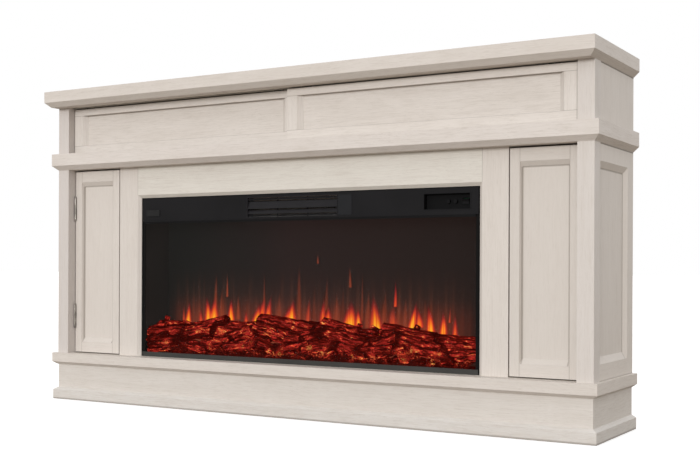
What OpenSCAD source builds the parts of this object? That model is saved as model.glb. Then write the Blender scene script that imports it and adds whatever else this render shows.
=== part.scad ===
// Electric fireplace: an electric fire insert in a long wooden mantel with sliding and hinged doors.
// Millimetres. +X is to the right, +Y to the back and +Z up. The origin is the middle of the footprint, on the floor.

/* [Overall] */
// Width over the outer faces of the two posts
unit_w = 1730; // [1720:1:1740]
// Depth from the post faces to the back
body_d = 314; // [310:1:320]
// Height of the top face above the floor
height = 955; // [950:1:960]
// How far the top stands in front of the posts
top_over_front = 48; // [46:1:52]
// How far the top and the middle moulding stand out at each side
side_over = 15.5; // [15.3:0.1:16]

/* [Mouldings] */
// Thickness of the top board
slab_h = 33; // [30:1:36]
// Height of the bevelled moulding under the top
top_bevel_h = 14; // [12:1:16]
// Inset of the bevel under the top
top_bevel_w = 15; // [12:1:18]
// Top of the middle moulding above the floor
mid_top = 764.5; // [764:0.5:765]
// Height of the middle moulding
mid_h = 50; // [48:1:52]
// Height of the bevel along the foot of the middle moulding
mid_bevel_h = 13.5; // [10:0.5:15]
// Top of the base moulding above the floor
base_top = 143.5; // [143:0.5:144]
// Height of the base moulding
base_h = 36; // [34:1:38]
// How far the base moulding stands out
base_over = 13; // [12:1:14]
// Height of the bevel along the foot of the base moulding
base_bevel_h = 8.5; // [6:0.5:10]
// How far the plinth stands in from the posts
plinth_inset = 1.5; // [1:0.5:2]
// Height of the foot moulding at the floor
foot_h = 36; // [32:1:40]
// Thickness of the foot moulding
foot_t = 12; // [10:1:14]
// Height of the bevel along the top of the foot moulding
foot_bevel_h = 7; // [5:1:9]

/* [Posts and panels] */
// Width of a post, seen from the front
post_w = 42; // [41:1:43]
// Depth of a post, seen from the side
post_d = 44; // [42:1:46]
// Thickness of the cabinet's boards
board_t = 18; // [16:1:18]
// Width of the rear member of a side panel
side_rear_w = 48; // [44:1:52]
// Top of the inset in a side panel above the floor
side_inset_top = 671; // [665:1:675]
// Bottom of the inset in a side panel above the floor
side_inset_low = 185; // [180:1:190]
// Width of the bevelled border in a side panel
side_border_w = 16.7; // [14:0.1:18]
// Depth of the bevelled border in a side panel
side_border_d = 9; // [6:0.5:10]
// Thickness of the back panels
back_t = 6; // [5:1:8]
// Radius of the cable outlets in the upper back panel
outlet_r = 30; // [25:1:35]

/* [Sliding doors] */
// Recess of the front sliding door behind the post faces
slider_recess = 5; // [4:1:7]
// Distance from the front of one sliding door to the front of the other
slider_step = 19; // [18:1:20]
// Thickness of a sliding door
slider_t = 16; // [15:1:16]
// Depth of a sliding door's panel behind its frame
slider_panel_d = 12; // [11:1:12]
// Bottom of the sliding doors above the floor
slider_low = 767; // [766.5:0.5:768]
// Top of the sliding doors above the floor
slider_top = 904; // [902:0.5:904]
// How far a sliding door reaches past the middle
slider_lap = 7; // [5:1:12]
// Height of a sliding door's bottom rail
slider_rail_low = 23; // [20:1:25]
// Height of a sliding door's top rail
slider_rail_top = 20; // [18:1:24]
// Width of the flat face of a sliding door's stile
slider_stile_w = 33; // [30:1:36]
// Width of the chamfer on a sliding door's stile
slider_chamfer = 14; // [12:1:16]

/* [Cabinet doors] */
// Recess of the cabinet doors and the fascia behind the post faces
door_recess = 30; // [29:1:31]
// Bottom of the cabinet doors above the floor
door_low = 146.5; // [146:0.5:150]
// Top of the cabinet doors above the floor
door_top = 710; // [706:1:710]
// Width of a cabinet door's stiles
door_stile_w = 26; // [24:1:28]
// Height of a cabinet door's top rail
door_rail_top = 33; // [30:1:35]
// Height of a cabinet door's bottom rail
door_rail_low = 31.5; // [29:0.5:33]
// Width of the bevelled border above and below a cabinet door's inset panel
door_border_w = 13.5; // [11:0.5:14]
// Width of the steep border along the sides of a cabinet door's inset panel
door_border_side = 4; // [3:0.5:12]
// Depth of the border round a cabinet door's inset panel
door_border_d = 10; // [6:0.5:10]
// Height of the lower hinges' middles above the floor
hinge_low = 259.5; // [240:0.5:280]
// Height of the upper hinges' middles above the floor
hinge_high = 595.5; // [580:0.5:610]

/* [Fascia] */
// Half of the fascia's width
fascia_half = 637; // [636:1:640]
// Half of the opening's width at the back of its chamfer
opening_half = 557; // [555.5:0.5:557]
// Top of the opening above the floor, at the back of its chamfer
opening_top = 621; // [619.5:0.5:621]
// Width of the chamfer round the opening
opening_chamfer_w = 9; // [8:1:12]
// Depth of the chamfer round the opening
opening_chamfer_d = 8; // [6:1:9]

/* [Fire insert] */
// Half of the insert's width
insert_half = 553; // [552:0.5:554]
// Depth of the insert
insert_d = 200; // [195:1:205]
// Top of the insert above the floor
insert_top = 619; // [618:0.5:619]
// Bottom of the black upper panel above the floor
panel_low = 550; // [548:1:552]
// Top of the grey strip under the glass, above the floor
strip_top = 157; // [155:1:159]
// Thickness of the steel sheet
sheet_t = 1.5; // [1.2:0.1:1.8]
// Radius of the flicker rotor's shaft and the blower wheel's shaft
shaft_r = 3; // [2.5:0.5:3]
// Radial clearance between a shaft and its bearing
shaft_gap = 0.05; // [0.03:0.01:0.08]

/* [Hidden] */
$fn = 48;

wood = "#d9d0c7";
inner_wood = "#c9bda9";
steel = "#9a9a98";
black = "#26262a";

// Gap left at a glued or mitred joint, so that the pieces stay separate
joint = 0.1;
// Small overrun of a cutting solid
over = 1;

half_w = unit_w / 2;
half_top = half_w + side_over;
back_y = (body_d + top_over_front) / 2;
front_y = back_y - body_d - top_over_front;
face_y = back_y - body_d;
slab_low = height - slab_h;
under_top = slab_low - top_bevel_h;
mid_low = mid_top - mid_h;
base_low = base_top - base_h;
side_in = half_w - board_t;
post_in = half_w - post_w;
post_back = face_y + post_d;
side_rear = back_y - side_rear_w;
shelf_low = mid_top - board_t;
panel_back_y = back_y - back_t;

base_ring_w = 40;
base_outer = half_w + base_over;
base_front = face_y - base_over;
deck_low = base_top - board_t;
plinth_half = half_w - plinth_inset;
plinth_front = face_y + plinth_inset;
plinth_h = deck_low - joint;

slider_front_y = face_y + slider_recess;
slider_rear_y = slider_front_y + slider_step;
slider_end = post_in - 1.5;
track_w = 9;
track_wall = 1.5;
track_up_h = 8;
track_low_h = 7.5;
glide_w = 5;
glide_l = 30;
glide_inset = 60;

door_y = face_y + door_recess;
door_back_y = door_y + board_t;
door_hinge_x = post_in - 2.4;
door_free_x = fascia_half + 3.5;
door_panel_t = 14;
hinge_x = post_in - 3.4;
hinge_y = door_y - 3.6;
leaf_t = 1;
knuckle_r = 3.2;
pin_r = 1.5;
knuckle_gap = 0.2;
knuckles = 5;
barrel_h = 68;
knuckle_h = barrel_h / knuckles;

divider_in = fascia_half - board_t;
shelf_z = 430;
shelf_t = 16;
pin_hole_d = 7;
shelf_pin_r = 2.5;
pin_ys = [post_back + 45, side_rear - 25];
catch_z = 460;

insert_y = door_y + opening_chamfer_d;
insert_back_y = insert_y + insert_d;
shell_front_y = insert_y + 3;
shell_low = base_top;
floor_z = shell_low + sheet_t;
glass_y = shell_front_y + sheet_t + 0.1;
glass_t = 4;
deck_z = panel_low + 2.4;
screen_y = 20;
bay_x = [400, 529];
bay_z = [565, 604];
bay_y = insert_y + 15;
grille_x = [-165, 137];
grille_z = [554, 613];
wheel_at = [5, 585.5];
wheel_r = 26;
wheel_x = [-155, 125];
rotor_at = [60, 188];
rotor_x = 500;
gland_at = [470, 180];
button_r = 5;
button_travel = 1.5;
flame_button_x = 464;
heat_button_x = 484;
switch_x = [503, 521];
switch_at = [bay_y + 4, 584.5];

// ---- shared shapes ----

// A board between its lowest and highest corners
module board(lo, hi) {
    translate(lo) cube(hi - lo);
}

// The child and its mirror image on the other side
module both_sides() {
    children();
    mirror([1, 0, 0]) children();
}

// The child as it is for the right side, mirrored for the left side
module on_side(left) {
    if (left) mirror([1, 0, 0]) children();
    else children();
}

// A bar along X from x0 to x1; its section is a list of [y, z]
module bar_x(x0, x1, section) {
    translate([x0, 0, 0]) rotate([90, 0, 90]) linear_extrude(x1 - x0) polygon(section);
}

// A rod or a hole along X from x0 to x1 with its axis at [y, z]
module rod_x(x0, x1, at, r) {
    translate([x0, at[0], at[1]]) rotate([0, 90, 0]) cylinder(r = r, h = x1 - x0);
}

// A rod or a hole along Y from y0 to y1 with its axis at [x, z]
module rod_y(y0, y1, at, r) {
    translate([at[0], y0, at[1]]) rotate([-90, 0, 0]) cylinder(r = r, h = y1 - y0);
}

// Mitred trim along the front and both sides. The section is a list of [distance in from the outer edge, z].
module trim(half, front, width, section) {
    intersection() {
        translate([0, front, 0]) bar_x(-half, half, section);
        linear_extrude(height) polygon([
            [-half + joint, front], [half - joint, front],
            [half - joint - width, front + width], [-half + joint + width, front + width]
        ]);
    }
    both_sides() intersection() {
        translate([half, back_y, 0]) mirror([1, 0, 0]) rotate([90, 0, 0])
            linear_extrude(back_y - front) polygon(section);
        linear_extrude(height) polygon([
            [half, front], [half, back_y], [half - width, back_y], [half - width, front + width]
        ]);
    }
}

// A pocket with sloping borders, mouth in the plane z = 0 and w by h there, sunk to the given depth;
// side is the width of the border at its left and right where that differs
module pocket(w, h, depth, border, side = 0) {
    reach = 4 * over * border / depth;
    function tapered(full, b) = [
        [-full / 2 - over * b / depth, over], [full / 2 + over * b / depth, over],
        [full / 2 - b, -depth], [-full / 2 + b, -depth]
    ];
    intersection() {
        rotate([90, 0, 0]) linear_extrude(h + reach, center = true) polygon(tapered(w, side > 0 ? side : border));
        rotate([90, 0, 90]) linear_extrude(w + reach, center = true) polygon(tapered(h, border));
    }
}

// A tube along X from x0 to x1 round the axis at [y, z]
module tube_x(x0, x1, at, outer, inner) {
    difference() {
        rod_x(x0, x1, at, outer);
        rod_x(x0 - over, x1 + over, at, inner);
    }
}

// ---- the wooden case ----

module mantel_top() {
    color(wood) board([-half_top, front_y, slab_low], [half_top, back_y, height]);
}

module mantel_moulding() {
    ring_w = top_over_front;
    color(wood) trim(half_top, front_y, ring_w, [
        [0, slab_low], [top_bevel_w, under_top], [ring_w, under_top], [ring_w, slab_low]
    ]);
}

// Front and rear door planes share the same two track lines
module track_lines() {
    for (y = [slider_front_y, slider_rear_y]) translate([0, y + slider_t / 2, 0]) children();
}

module case_top() {
    half = half_top - top_over_front - joint;
    color(inner_wood) difference() {
        board([-half, face_y + joint, under_top], [half, back_y, slab_low]);
        track_lines() board([-post_in, -track_w / 2, under_top - over], [post_in, track_w / 2, under_top + track_up_h]);
    }
}

// One door channel, open towards +z, with its floor at z = 0
module channel(h) {
    w = track_w / 2;
    slot = w - track_wall;
    bar_x(-post_in, post_in, [
        [-w, 0], [w, 0], [w, h], [slot, h], [slot, track_wall], [-slot, track_wall], [-slot, h], [-w, h]
    ]);
}

module upper_door_track() {
    color(steel) track_lines() translate([0, 0, under_top + track_up_h]) mirror([0, 0, 1]) channel(track_up_h);
}

module lower_door_track() {
    color(steel) track_lines() translate([0, 0, mid_top - track_low_h]) channel(track_low_h);
}

module post(left) {
    color(wood) on_side(left) board([post_in, face_y, base_top], [half_w, post_back - joint, under_top]);
}

module left_post() post(true);
module right_post() post(false);

// Frame of one side: a rear member, a bottom rail and a plain upper board
module side_panel(left) {
    color(wood) on_side(left) {
        board([side_in, side_rear, base_top], [half_w, back_y, under_top]);
        board([side_in, post_back, base_top], [half_w, side_rear - joint, side_inset_low - joint]);
        board([side_in, post_back, side_inset_top + joint], [half_w, side_rear - joint, under_top]);
    }
}

module left_side_panel() side_panel(true);
module right_side_panel() side_panel(false);

// Blind holes for the shelf pins, bored from the plane x towards the given direction
module pin_holes(x, toward, r) {
    for (y = pin_ys) translate([x, y, shelf_z - shelf_pin_r]) rotate([0, 90 * toward, 0]) cylinder(r = r, h = pin_hole_d);
}

module side_insets() {
    w = side_rear - post_back - 2 * joint;
    h = side_inset_top - side_inset_low;
    color(wood) both_sides() difference() {
        board([side_in, post_back + joint, side_inset_low], [half_w, side_rear - joint, side_inset_top]);
        translate([half_w, (post_back + side_rear) / 2, (side_inset_low + side_inset_top) / 2])
            rotate([90, 0, 90]) pocket(w, h, side_border_d, side_border_w);
        pin_holes(side_in, 1, shelf_pin_r);
    }
}

module mid_moulding() {
    color(wood) trim(half_top, face_y - side_over, side_over, [
        [0, mid_top], [0, mid_low + mid_bevel_h], [side_over - 0.3, mid_low], [side_over, mid_low], [side_over, mid_top]
    ]);
}

module mid_rail() {
    color(wood) board([-post_in + joint, face_y + joint, mid_low], [post_in - joint, door_back_y, shelf_low - joint]);
}

module media_shelf() {
    color(wood) difference() {
        union() {
            board([-post_in + joint, face_y + joint, shelf_low], [post_in - joint, panel_back_y - joint, mid_top]);
            both_sides() board([post_in - over, post_back, shelf_low], [side_in - joint, panel_back_y - joint, mid_top]);
        }
        track_lines() board(
            [-post_in - over, -track_w / 2, mid_top - track_low_h], [post_in + over, track_w / 2, mid_top + over]);
    }
}

module bay_dividers() {
    color(inner_wood) both_sides() difference() {
        board([divider_in, door_back_y + joint, base_top], [fascia_half, panel_back_y - joint, shelf_low - joint]);
        pin_holes(fascia_half, -1, shelf_pin_r);
    }
}

// The whole front round the opening, before it is cut into a rail and two stiles
module fascia_blank() {
    mouth = opening_half + opening_chamfer_w;
    mouth_h = opening_top + opening_chamfer_w - base_top;
    difference() {
        board([-fascia_half, door_y, base_top], [fascia_half, door_back_y, mid_low]);
        board([-opening_half, door_y - over, base_top - over], [opening_half, door_back_y + over, opening_top]);
        translate([0, door_y, base_top]) rotate([90, 0, 0])
            pocket(2 * mouth, 2 * mouth_h, opening_chamfer_d, opening_chamfer_w);
    }
}

// Outline of the rail between the stiles, mitred through the chamfer; grow widens it
module rail_outline(grow) {
    mouth = opening_half + opening_chamfer_w + grow;
    mouth_z = opening_top + opening_chamfer_w;
    translate([0, door_back_y + over, 0]) rotate([90, 0, 0]) linear_extrude(board_t + 2 * over) polygon([
        [-mouth, mid_low + over], [mouth, mid_low + over], [mouth, mouth_z],
        [mouth - 2 * opening_chamfer_w, mouth_z - 2 * opening_chamfer_w],
        [-mouth + 2 * opening_chamfer_w, mouth_z - 2 * opening_chamfer_w], [-mouth, mouth_z]
    ]);
}

module fascia_rail() {
    color(wood) intersection() {
        fascia_blank();
        rail_outline(-joint);
    }
}

module fascia_stiles() {
    color(wood) difference() {
        fascia_blank();
        rail_outline(0);
    }
}

module bottom_panel() {
    half = base_outer - base_ring_w - joint;
    color(inner_wood) board([-half, base_front + base_ring_w + joint, deck_low], [half, back_y, base_top]);
}

module base_moulding() {
    lip = base_over + plinth_inset - joint;
    color(wood) trim(base_outer, base_front, base_ring_w, [
        [0, base_low + base_bevel_h], [base_over - 0.5, base_low], [lip, base_low], [lip, deck_low],
        [base_ring_w, deck_low], [base_ring_w, base_top], [0, base_top]
    ]);
}

module plinth() {
    color(wood) {
        board([-plinth_half, plinth_front, 0], [plinth_half, plinth_front + board_t, plinth_h]);
        both_sides() board(
            [plinth_half - board_t, plinth_front + board_t + joint, 0], [plinth_half, back_y, plinth_h]);
        board([-plinth_half + board_t + joint, back_y - board_t, 20], [plinth_half - board_t - joint, back_y, plinth_h]);
    }
}

module foot_moulding() {
    color(wood) trim(plinth_half + foot_t, plinth_front - foot_t, foot_t - joint, [
        [0, 0], [foot_t - joint, 0], [foot_t - joint, foot_h], [0, foot_h - foot_bevel_h]
    ]);
}

module upper_back_panel() {
    half = side_in - joint;
    color(inner_wood) difference() {
        board([-half, panel_back_y, mid_low + 6], [half, back_y, under_top - joint]);
        both_sides() rod_y(panel_back_y - over, back_y + over, [300, (mid_top + under_top) / 2], outlet_r);
    }
}

module cabinet_back_panels() {
    color(inner_wood) both_sides()
        board([divider_in - 9, panel_back_y, base_top + joint], [side_in - joint, back_y, mid_low + 5.8]);
}

module cabinet_shelves() {
    color(inner_wood) both_sides()
        board([fascia_half + 1, door_back_y + 4, shelf_z], [side_in - 1, panel_back_y - 3, shelf_z + shelf_t]);
}

// Pins with a flat tab that the shelf lies on
module shelf_pins() {
    reach = 8;
    module pin() {
        translate([0, 0, -shelf_pin_r]) rotate([0, 90, 0]) translate([0, 0, -pin_hole_d + 0.5])
            cylinder(r = shelf_pin_r - 0.05, h = pin_hole_d - 0.5);
        translate([0, -4, -4]) cube([reach, 8, 4 - joint]);
    }
    color(steel) both_sides() for (y = pin_ys) {
        translate([fascia_half + joint, y, shelf_z]) pin();
        translate([side_in - joint, y, shelf_z]) mirror([1, 0, 0]) pin();
    }
}

// ---- hinges and catches ----

// The height of knuckle i above the barrel's bottom, and whether it belongs to the post leaf
function knuckle_z(i) = i * knuckle_h;
function on_post(i) = i % 2 == 0;

// One leaf's knuckles, with the tabs that join them to the leaf's plane at x offset leaf_x
module leaf_knuckles(post_side, leaf_x) {
    for (i = [0 : knuckles - 1]) if (on_post(i) == post_side) translate([0, 0, knuckle_z(i) + knuckle_gap / 2]) {
        cylinder(r = knuckle_r, h = knuckle_h - knuckle_gap);
        translate([leaf_x, 0, 0]) cube([leaf_t, 5, knuckle_h - knuckle_gap]);
    }
}

// Post half of a hinge: plate on the post, three knuckles, and the pin with its ball ends; right-hand hinge
module hinge_post_half() {
    plate_x = post_in - hinge_x - leaf_t;
    leaf_knuckles(true, plate_x);
    translate([plate_x, 4, 1]) cube([leaf_t, 22, barrel_h - 2]);
    translate([0, 0, 1]) cylinder(r = pin_r, h = barrel_h - 2);
    for (z = [-1.5, barrel_h + 1.5]) translate([0, 0, z]) sphere(r = 3);
}

// Door half of a hinge: plate on the door's edge and two bored knuckles; right-hand hinge
module hinge_door_half() {
    plate_x = door_hinge_x - hinge_x;
    difference() {
        union() {
            leaf_knuckles(false, plate_x);
            translate([plate_x, 4, 1]) cube([leaf_t, board_t - 0.6, barrel_h - 2]);
        }
        translate([0, 0, -over]) cylinder(r = pin_r + shaft_gap, h = barrel_h + 2 * over);
    }
}

// The child at both hinge places of the right-hand door
module at_hinges() {
    for (z = [hinge_low, hinge_high]) translate([hinge_x, hinge_y, z - barrel_h / 2]) children();
}

module hinge_post_leaves() {
    color(steel) both_sides() at_hinges() hinge_post_half();
}

module door_catches() {
    color("#5a5a5c") both_sides()
        board([fascia_half + joint, door_back_y + 1.2, catch_z], [fascia_half + 12, door_back_y + 15, catch_z + 40]);
}

// ---- sliding doors ----

// Frame of the right-hand sliding door with its front at y = 0: two full rails with the stiles between them
module slider_frame_shape() {
    x0 = -slider_lap;
    x1 = slider_end;
    rebate = 8;
    low_top = slider_low + slider_rail_low;
    top_low = slider_top - slider_rail_top;
    stile = slider_stile_w + slider_chamfer;
    bar_x(x0, x1, [
        [0, slider_low], [slider_t, slider_low], [slider_t, low_top - rebate],
        [slider_panel_d, low_top - rebate], [slider_panel_d, low_top], [0, low_top]
    ]);
    bar_x(x0, x1, [
        [0, slider_top], [slider_t, slider_top], [slider_t, top_low + rebate],
        [slider_panel_d, top_low + rebate], [slider_panel_d, top_low], [0, top_low]
    ]);
    module stile() {
        translate([0, 0, low_top + joint]) linear_extrude(top_low - low_top - 2 * joint) polygon([
            [0, 0], [slider_stile_w, 0], [stile, slider_panel_d],
            [stile - rebate, slider_panel_d], [stile - rebate, slider_t], [0, slider_t]
        ]);
    }
    translate([x0, 0, 0]) stile();
    translate([x1, 0, 0]) mirror([1, 0, 0]) stile();
}

module slider_panel_shape() {
    edge = slider_stile_w + slider_chamfer - 8 + 0.2;
    board(
        [-slider_lap + edge, slider_panel_d + joint, slider_low + slider_rail_low - 7.8],
        [slider_end - edge, slider_t, slider_top - slider_rail_top + 7.8]);
}

// Two blocks in the lower channel and two in the upper one
module slider_glides_shape() {
    foot = mid_top - track_low_h + track_wall + 0.3;
    head = under_top + track_up_h - track_wall - 1;
    for (x = [-slider_lap + glide_inset, slider_end - glide_inset]) {
        board([x - glide_l / 2, (slider_t - glide_w) / 2, foot], [x + glide_l / 2, (slider_t + glide_w) / 2, slider_low]);
        board([x - glide_l / 2, (slider_t - glide_w) / 2, slider_top], [x + glide_l / 2, (slider_t + glide_w) / 2, head]);
    }
}

module left_slider_place() {
    translate([0, slider_rear_y, 0]) mirror([1, 0, 0]) children();
}

module right_slider_place() {
    translate([0, slider_front_y, 0]) children();
}

module left_slider_frame() color(wood) left_slider_place() slider_frame_shape();
module right_slider_frame() color(wood) right_slider_place() slider_frame_shape();
module left_slider_panel() color(wood) left_slider_place() slider_panel_shape();
module right_slider_panel() color(wood) right_slider_place() slider_panel_shape();
module left_slider_glides() color("ivory") left_slider_place() slider_glides_shape();
module right_slider_glides() color("ivory") right_slider_place() slider_glides_shape();

// ---- cabinet doors ----

door_opening_x = [door_free_x + door_stile_w, door_hinge_x - door_stile_w];
door_opening_z = [door_low + door_rail_low, door_top - door_rail_top];

module door_frame_shape() {
    board([door_free_x, door_y, door_low], [door_opening_x[0], door_back_y, door_top]);
    board([door_opening_x[1], door_y, door_low], [door_hinge_x, door_back_y, door_top]);
    for (z = [[door_low, door_opening_z[0]], [door_opening_z[1], door_top]])
        board([door_opening_x[0] + joint, door_y, z[0]], [door_opening_x[1] - joint, door_back_y, z[1]]);
}

module door_panel_shape() {
    lo = [door_opening_x[0] + joint, door_y, door_opening_z[0] + joint];
    hi = [door_opening_x[1] - joint, door_y + door_panel_t, door_opening_z[1] - joint];
    difference() {
        board(lo, hi);
        translate([(lo[0] + hi[0]) / 2, door_y, (lo[2] + hi[2]) / 2]) rotate([90, 0, 0])
            pocket(hi[0] - lo[0], hi[2] - lo[2], door_border_d, door_border_w, door_border_side);
    }
}

// Hinge leaves on the door's edge and the strike plate on its back
module door_hardware_shape() {
    at_hinges() hinge_door_half();
    board([door_free_x + 1, door_back_y, catch_z + 2], [door_free_x + 12, door_back_y + 1, catch_z + 38]);
}

module left_door_frame() color(wood) on_side(true) door_frame_shape();
module right_door_frame() color(wood) on_side(false) door_frame_shape();
module left_door_panel() color(wood) on_side(true) door_panel_shape();
module right_door_panel() color(wood) on_side(false) door_panel_shape();
module left_door_hardware() color(steel) on_side(true) door_hardware_shape();
module right_door_hardware() color(steel) on_side(false) door_hardware_shape();

// ---- fire insert: case and front ----

module firebox_shell() {
    low = shell_low + sheet_t + joint;
    top = insert_top - sheet_t - joint;
    inner = insert_half - sheet_t;
    flange = 8;
    color(black) {
        for (z = [shell_low, insert_top - sheet_t])
            board([-insert_half, shell_front_y, z], [insert_half, insert_back_y, z + sheet_t]);
        both_sides() translate([0, 0, low]) linear_extrude(top - low) polygon([
            [insert_half, shell_front_y], [insert_half, insert_back_y], [inner, insert_back_y],
            [inner, shell_front_y + sheet_t], [insert_half - flange, shell_front_y + sheet_t],
            [insert_half - flange, shell_front_y]
        ]);
        difference() {
            board([-inner + joint, insert_back_y - sheet_t, low], [inner - joint, insert_back_y, top]);
            for (row = [0, 1], i = [-5 : 5])
                translate([i * 70 - 25, insert_back_y - sheet_t - over, 572 + row * 18]) cube([50, sheet_t + 2 * over, 6]);
            rod_y(insert_back_y - sheet_t - over, insert_back_y + over, gland_at, 8.1);
        }
    }
}

// Black upper panel with the outlet opening, the control bay's tray behind it, and the lip that holds the glass
module control_fascia() {
    wall = 1.5;
    rim = 3;
    color(black) {
        difference() {
            union() {
                board([-insert_half, insert_y, panel_low], [insert_half, shell_front_y - joint, insert_top]);
                board([bay_x[0] - rim, insert_y - 1, bay_z[0] - rim], [bay_x[1] + rim, insert_y + over, bay_z[1] + rim]);
                board([bay_x[0] - wall, insert_y + over, bay_z[0] - wall], [bay_x[1] + wall, bay_y + wall, bay_z[1] + wall]);
                for (x = [switch_x[0] - 2, switch_x[1] + 0.4])
                    board([x, bay_y + over, switch_at[1] - 4], [x + 1.6, switch_at[0] + 3, switch_at[1] + 4]);
            }
            board([bay_x[0], insert_y - 2, bay_z[0]], [bay_x[1], bay_y, bay_z[1]]);
            board([grille_x[0], insert_y - over, grille_z[0]], [grille_x[1], shell_front_y + over, grille_z[1]]);
            for (x = [flame_button_x, heat_button_x])
                rod_y(bay_y - over, bay_y + wall + over, [x, switch_at[1]], button_r + 0.4);
            board(
                [switch_x[0] - 0.4, bay_y - over, switch_at[1] - 8.5],
                [switch_x[1] + 0.4, bay_y + wall + over, switch_at[1] + 8.5]);
            rod_x(switch_x[0] - 3, switch_x[1] + 3, switch_at, 1.25);
        }
        board([-insert_half + 8.2, insert_y + 1.2, panel_low - 6.5], [insert_half - 8.2, shell_front_y + 1.4, panel_low - joint]);
    }
}

// Frame and leaning slats in the heater outlet
module outlet_grille() {
    x0 = grille_x[0] + 0.2;
    x1 = grille_x[1] - 0.2;
    z0 = grille_z[0] + 0.2;
    z1 = grille_z[1] - 0.2;
    lean = 6;
    color("#1c1c1f") {
        for (z = [z0, z1 - 2]) board([x0, insert_y, z], [x1, insert_y + 8, z + 2]);
        for (x = [x0, x1 - 2]) board([x, insert_y - 0.6, z0], [x + 2, insert_y + 8, z1]);
        for (slat = [[557.5, 561.5], [564, 575], [579, 600], [603.5, 609]])
            bar_x(x0 + 1, x1 - 1, [
                [insert_y + 0.2, slat[0]], [insert_y + 1.7, slat[0]],
                [insert_y + 1.7 + lean, slat[1]], [insert_y + 0.2 + lean, slat[1]]
            ]);
        for (x = [-64, 36]) board([x, insert_y + 5, z0 + 1], [x + 1.5, insert_y + 7.9, z1 - 1]);
    }
}

module receiver_lens() {
    color("#17171c") board([grille_x[1] + 2, insert_y - 1, 556], [grille_x[1] + 45, insert_y, 611]);
}

// Plain badge with a raised border and nothing on it
module blank_badge() {
    lo = [-537, insert_y - 2, 566];
    hi = [-486, insert_y, 584];
    color("#6f7075") difference() {
        board(lo, hi);
        board([lo[0] + 2, lo[1] - over, lo[2] + 2], [hi[0] - 2, lo[1] + 0.8, hi[2] - 2]);
    }
}

module bottom_strip() {
    color("#4a4744") bar_x(-insert_half, insert_half, [
        [insert_y, shell_low], [shell_front_y - joint, shell_low], [shell_front_y - joint, strip_top],
        [insert_y + 1, strip_top], [insert_y, strip_top - 1]
    ]);
}

module glass_front() {
    color("#2a2220", 0.6)
        board([-insert_half + 3, glass_y, floor_z + joint], [insert_half - 3, glass_y + glass_t, deck_z - joint]);
}

// ---- fire insert: fire bed and flame effect ----

// Two rows of logs lie on the ember bed and a third lies across them.
// Each log: middle [x, y, z], length, radius, and turn about z
bed_top = 172;
fire_logs = [
    [[-400, -15, 200.2], 270, 28, 0], [[-112, -15, 200.2], 280, 28, 0], [[172, -15, 200.2], 260, 28, 0],
    [[422, -15, 198.2], 210, 26, 0], [[-420, -64, 190.2], 200, 18, 0.4], [[-205, -64, 190.2], 200, 18, -0.4],
    [[10, -64, 190.2], 200, 18, 0.4], [[225, -64, 190.2], 200, 18, -0.4], [[435, -64, 188.2], 190, 16, 0],
    [[-455, -24, 244.6], 110, 16, 8], [[-318, -22, 250.6], 140, 22, -8], [[-140, -18, 254.6], 160, 26, 5],
    [[12, -20, 248.6], 110, 20, -9], [[160, -22, 244.6], 140, 16, 8], [[318, -20, 246.6], 150, 18, -6]
];

module log_set() {
    color("#3a1712") for (piece = fire_logs)
        translate(piece[0]) rotate([0, 90, piece[3]]) cylinder(r = piece[2], h = piece[1], center = true);
}

// Thin translucent tray, open underneath to the LED strip
module ember_bed() {
    wall = 3;
    half = insert_half - 13;
    low = floor_z + joint;
    color("#7a1d10") difference() {
        board([-half, glass_y + glass_t + 3, low], [half, screen_y - 5, bed_top]);
        board([-half + wall, glass_y + glass_t + 3 + wall, low - over], [half - wall, screen_y - 5 - wall, bed_top - wall]);
    }
}

module flame_screen() {
    color("#3a3230", 0.7)
        board([-insert_half + 5, screen_y, floor_z + joint], [insert_half - 5, screen_y + 3, deck_z - joint]);
}

// Shaft with polished flicker vanes at changing angles
module flicker_rotor() {
    vanes = 14;
    pitch = 66;
    color("silver") {
        rod_x(-rotor_x - 8, rotor_x + 8, rotor_at, shaft_r);
        for (i = [0 : vanes - 1])
            translate([(i - (vanes - 1) / 2) * pitch, rotor_at[0], rotor_at[1]]) rotate([i * 55, 0, 0])
                cube([pitch - 12, 26, 0.8], center = true);
    }
}

// Geared motor on a stand at the right, and the bearing block at the left
module rotor_drive() {
    y = rotor_at[0];
    z = rotor_at[1];
    color("#77777a") difference() {
        union() {
            rod_x(rotor_x, rotor_x + 34, rotor_at, 20);
            board([rotor_x + 4, y - 18, floor_z], [rotor_x + 30, y + 18, z]);
            board([-rotor_x - 12, y - 8, floor_z], [-rotor_x, y + 8, z + 8]);
        }
        rod_x(-rotor_x - 13, rotor_x + 9, rotor_at, shaft_r + shaft_gap);
    }
}

// ---- fire insert: heater ----

module blower_wheel() {
    blades = 20;
    x0 = wheel_x[0];
    x1 = wheel_x[1];
    depth = 7;
    color("#b9bcc0") {
        rod_x(x0 - 22, x1 + 24, wheel_at, shaft_r);
        for (x = [x0, (x0 + x1) / 2, x1 - 2]) rod_x(x, x + 2, wheel_at, wheel_r - 0.5);
        for (i = [0 : blades - 1])
            translate([x0, wheel_at[0], wheel_at[1]]) rotate([i * 360 / blades, 0, 0])
                translate([0, 0, wheel_r - depth]) rotate([25, 0, 0]) cube([x1 - x0, 0.8, depth]);
    }
}

// Motor on the right cheek of the duct, and the bearing on the left one
module blower_motor() {
    color("#6c6e72") difference() {
        union() {
            rod_x(grille_x[1] + 2.6, grille_x[1] + 46, wheel_at, 25);
            rod_x(grille_x[0] - 14, grille_x[0] - 2.6, wheel_at, 7);
        }
        rod_x(grille_x[0] - 15, grille_x[1] + 14, wheel_at, shaft_r + shaft_gap);
    }
}

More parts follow.
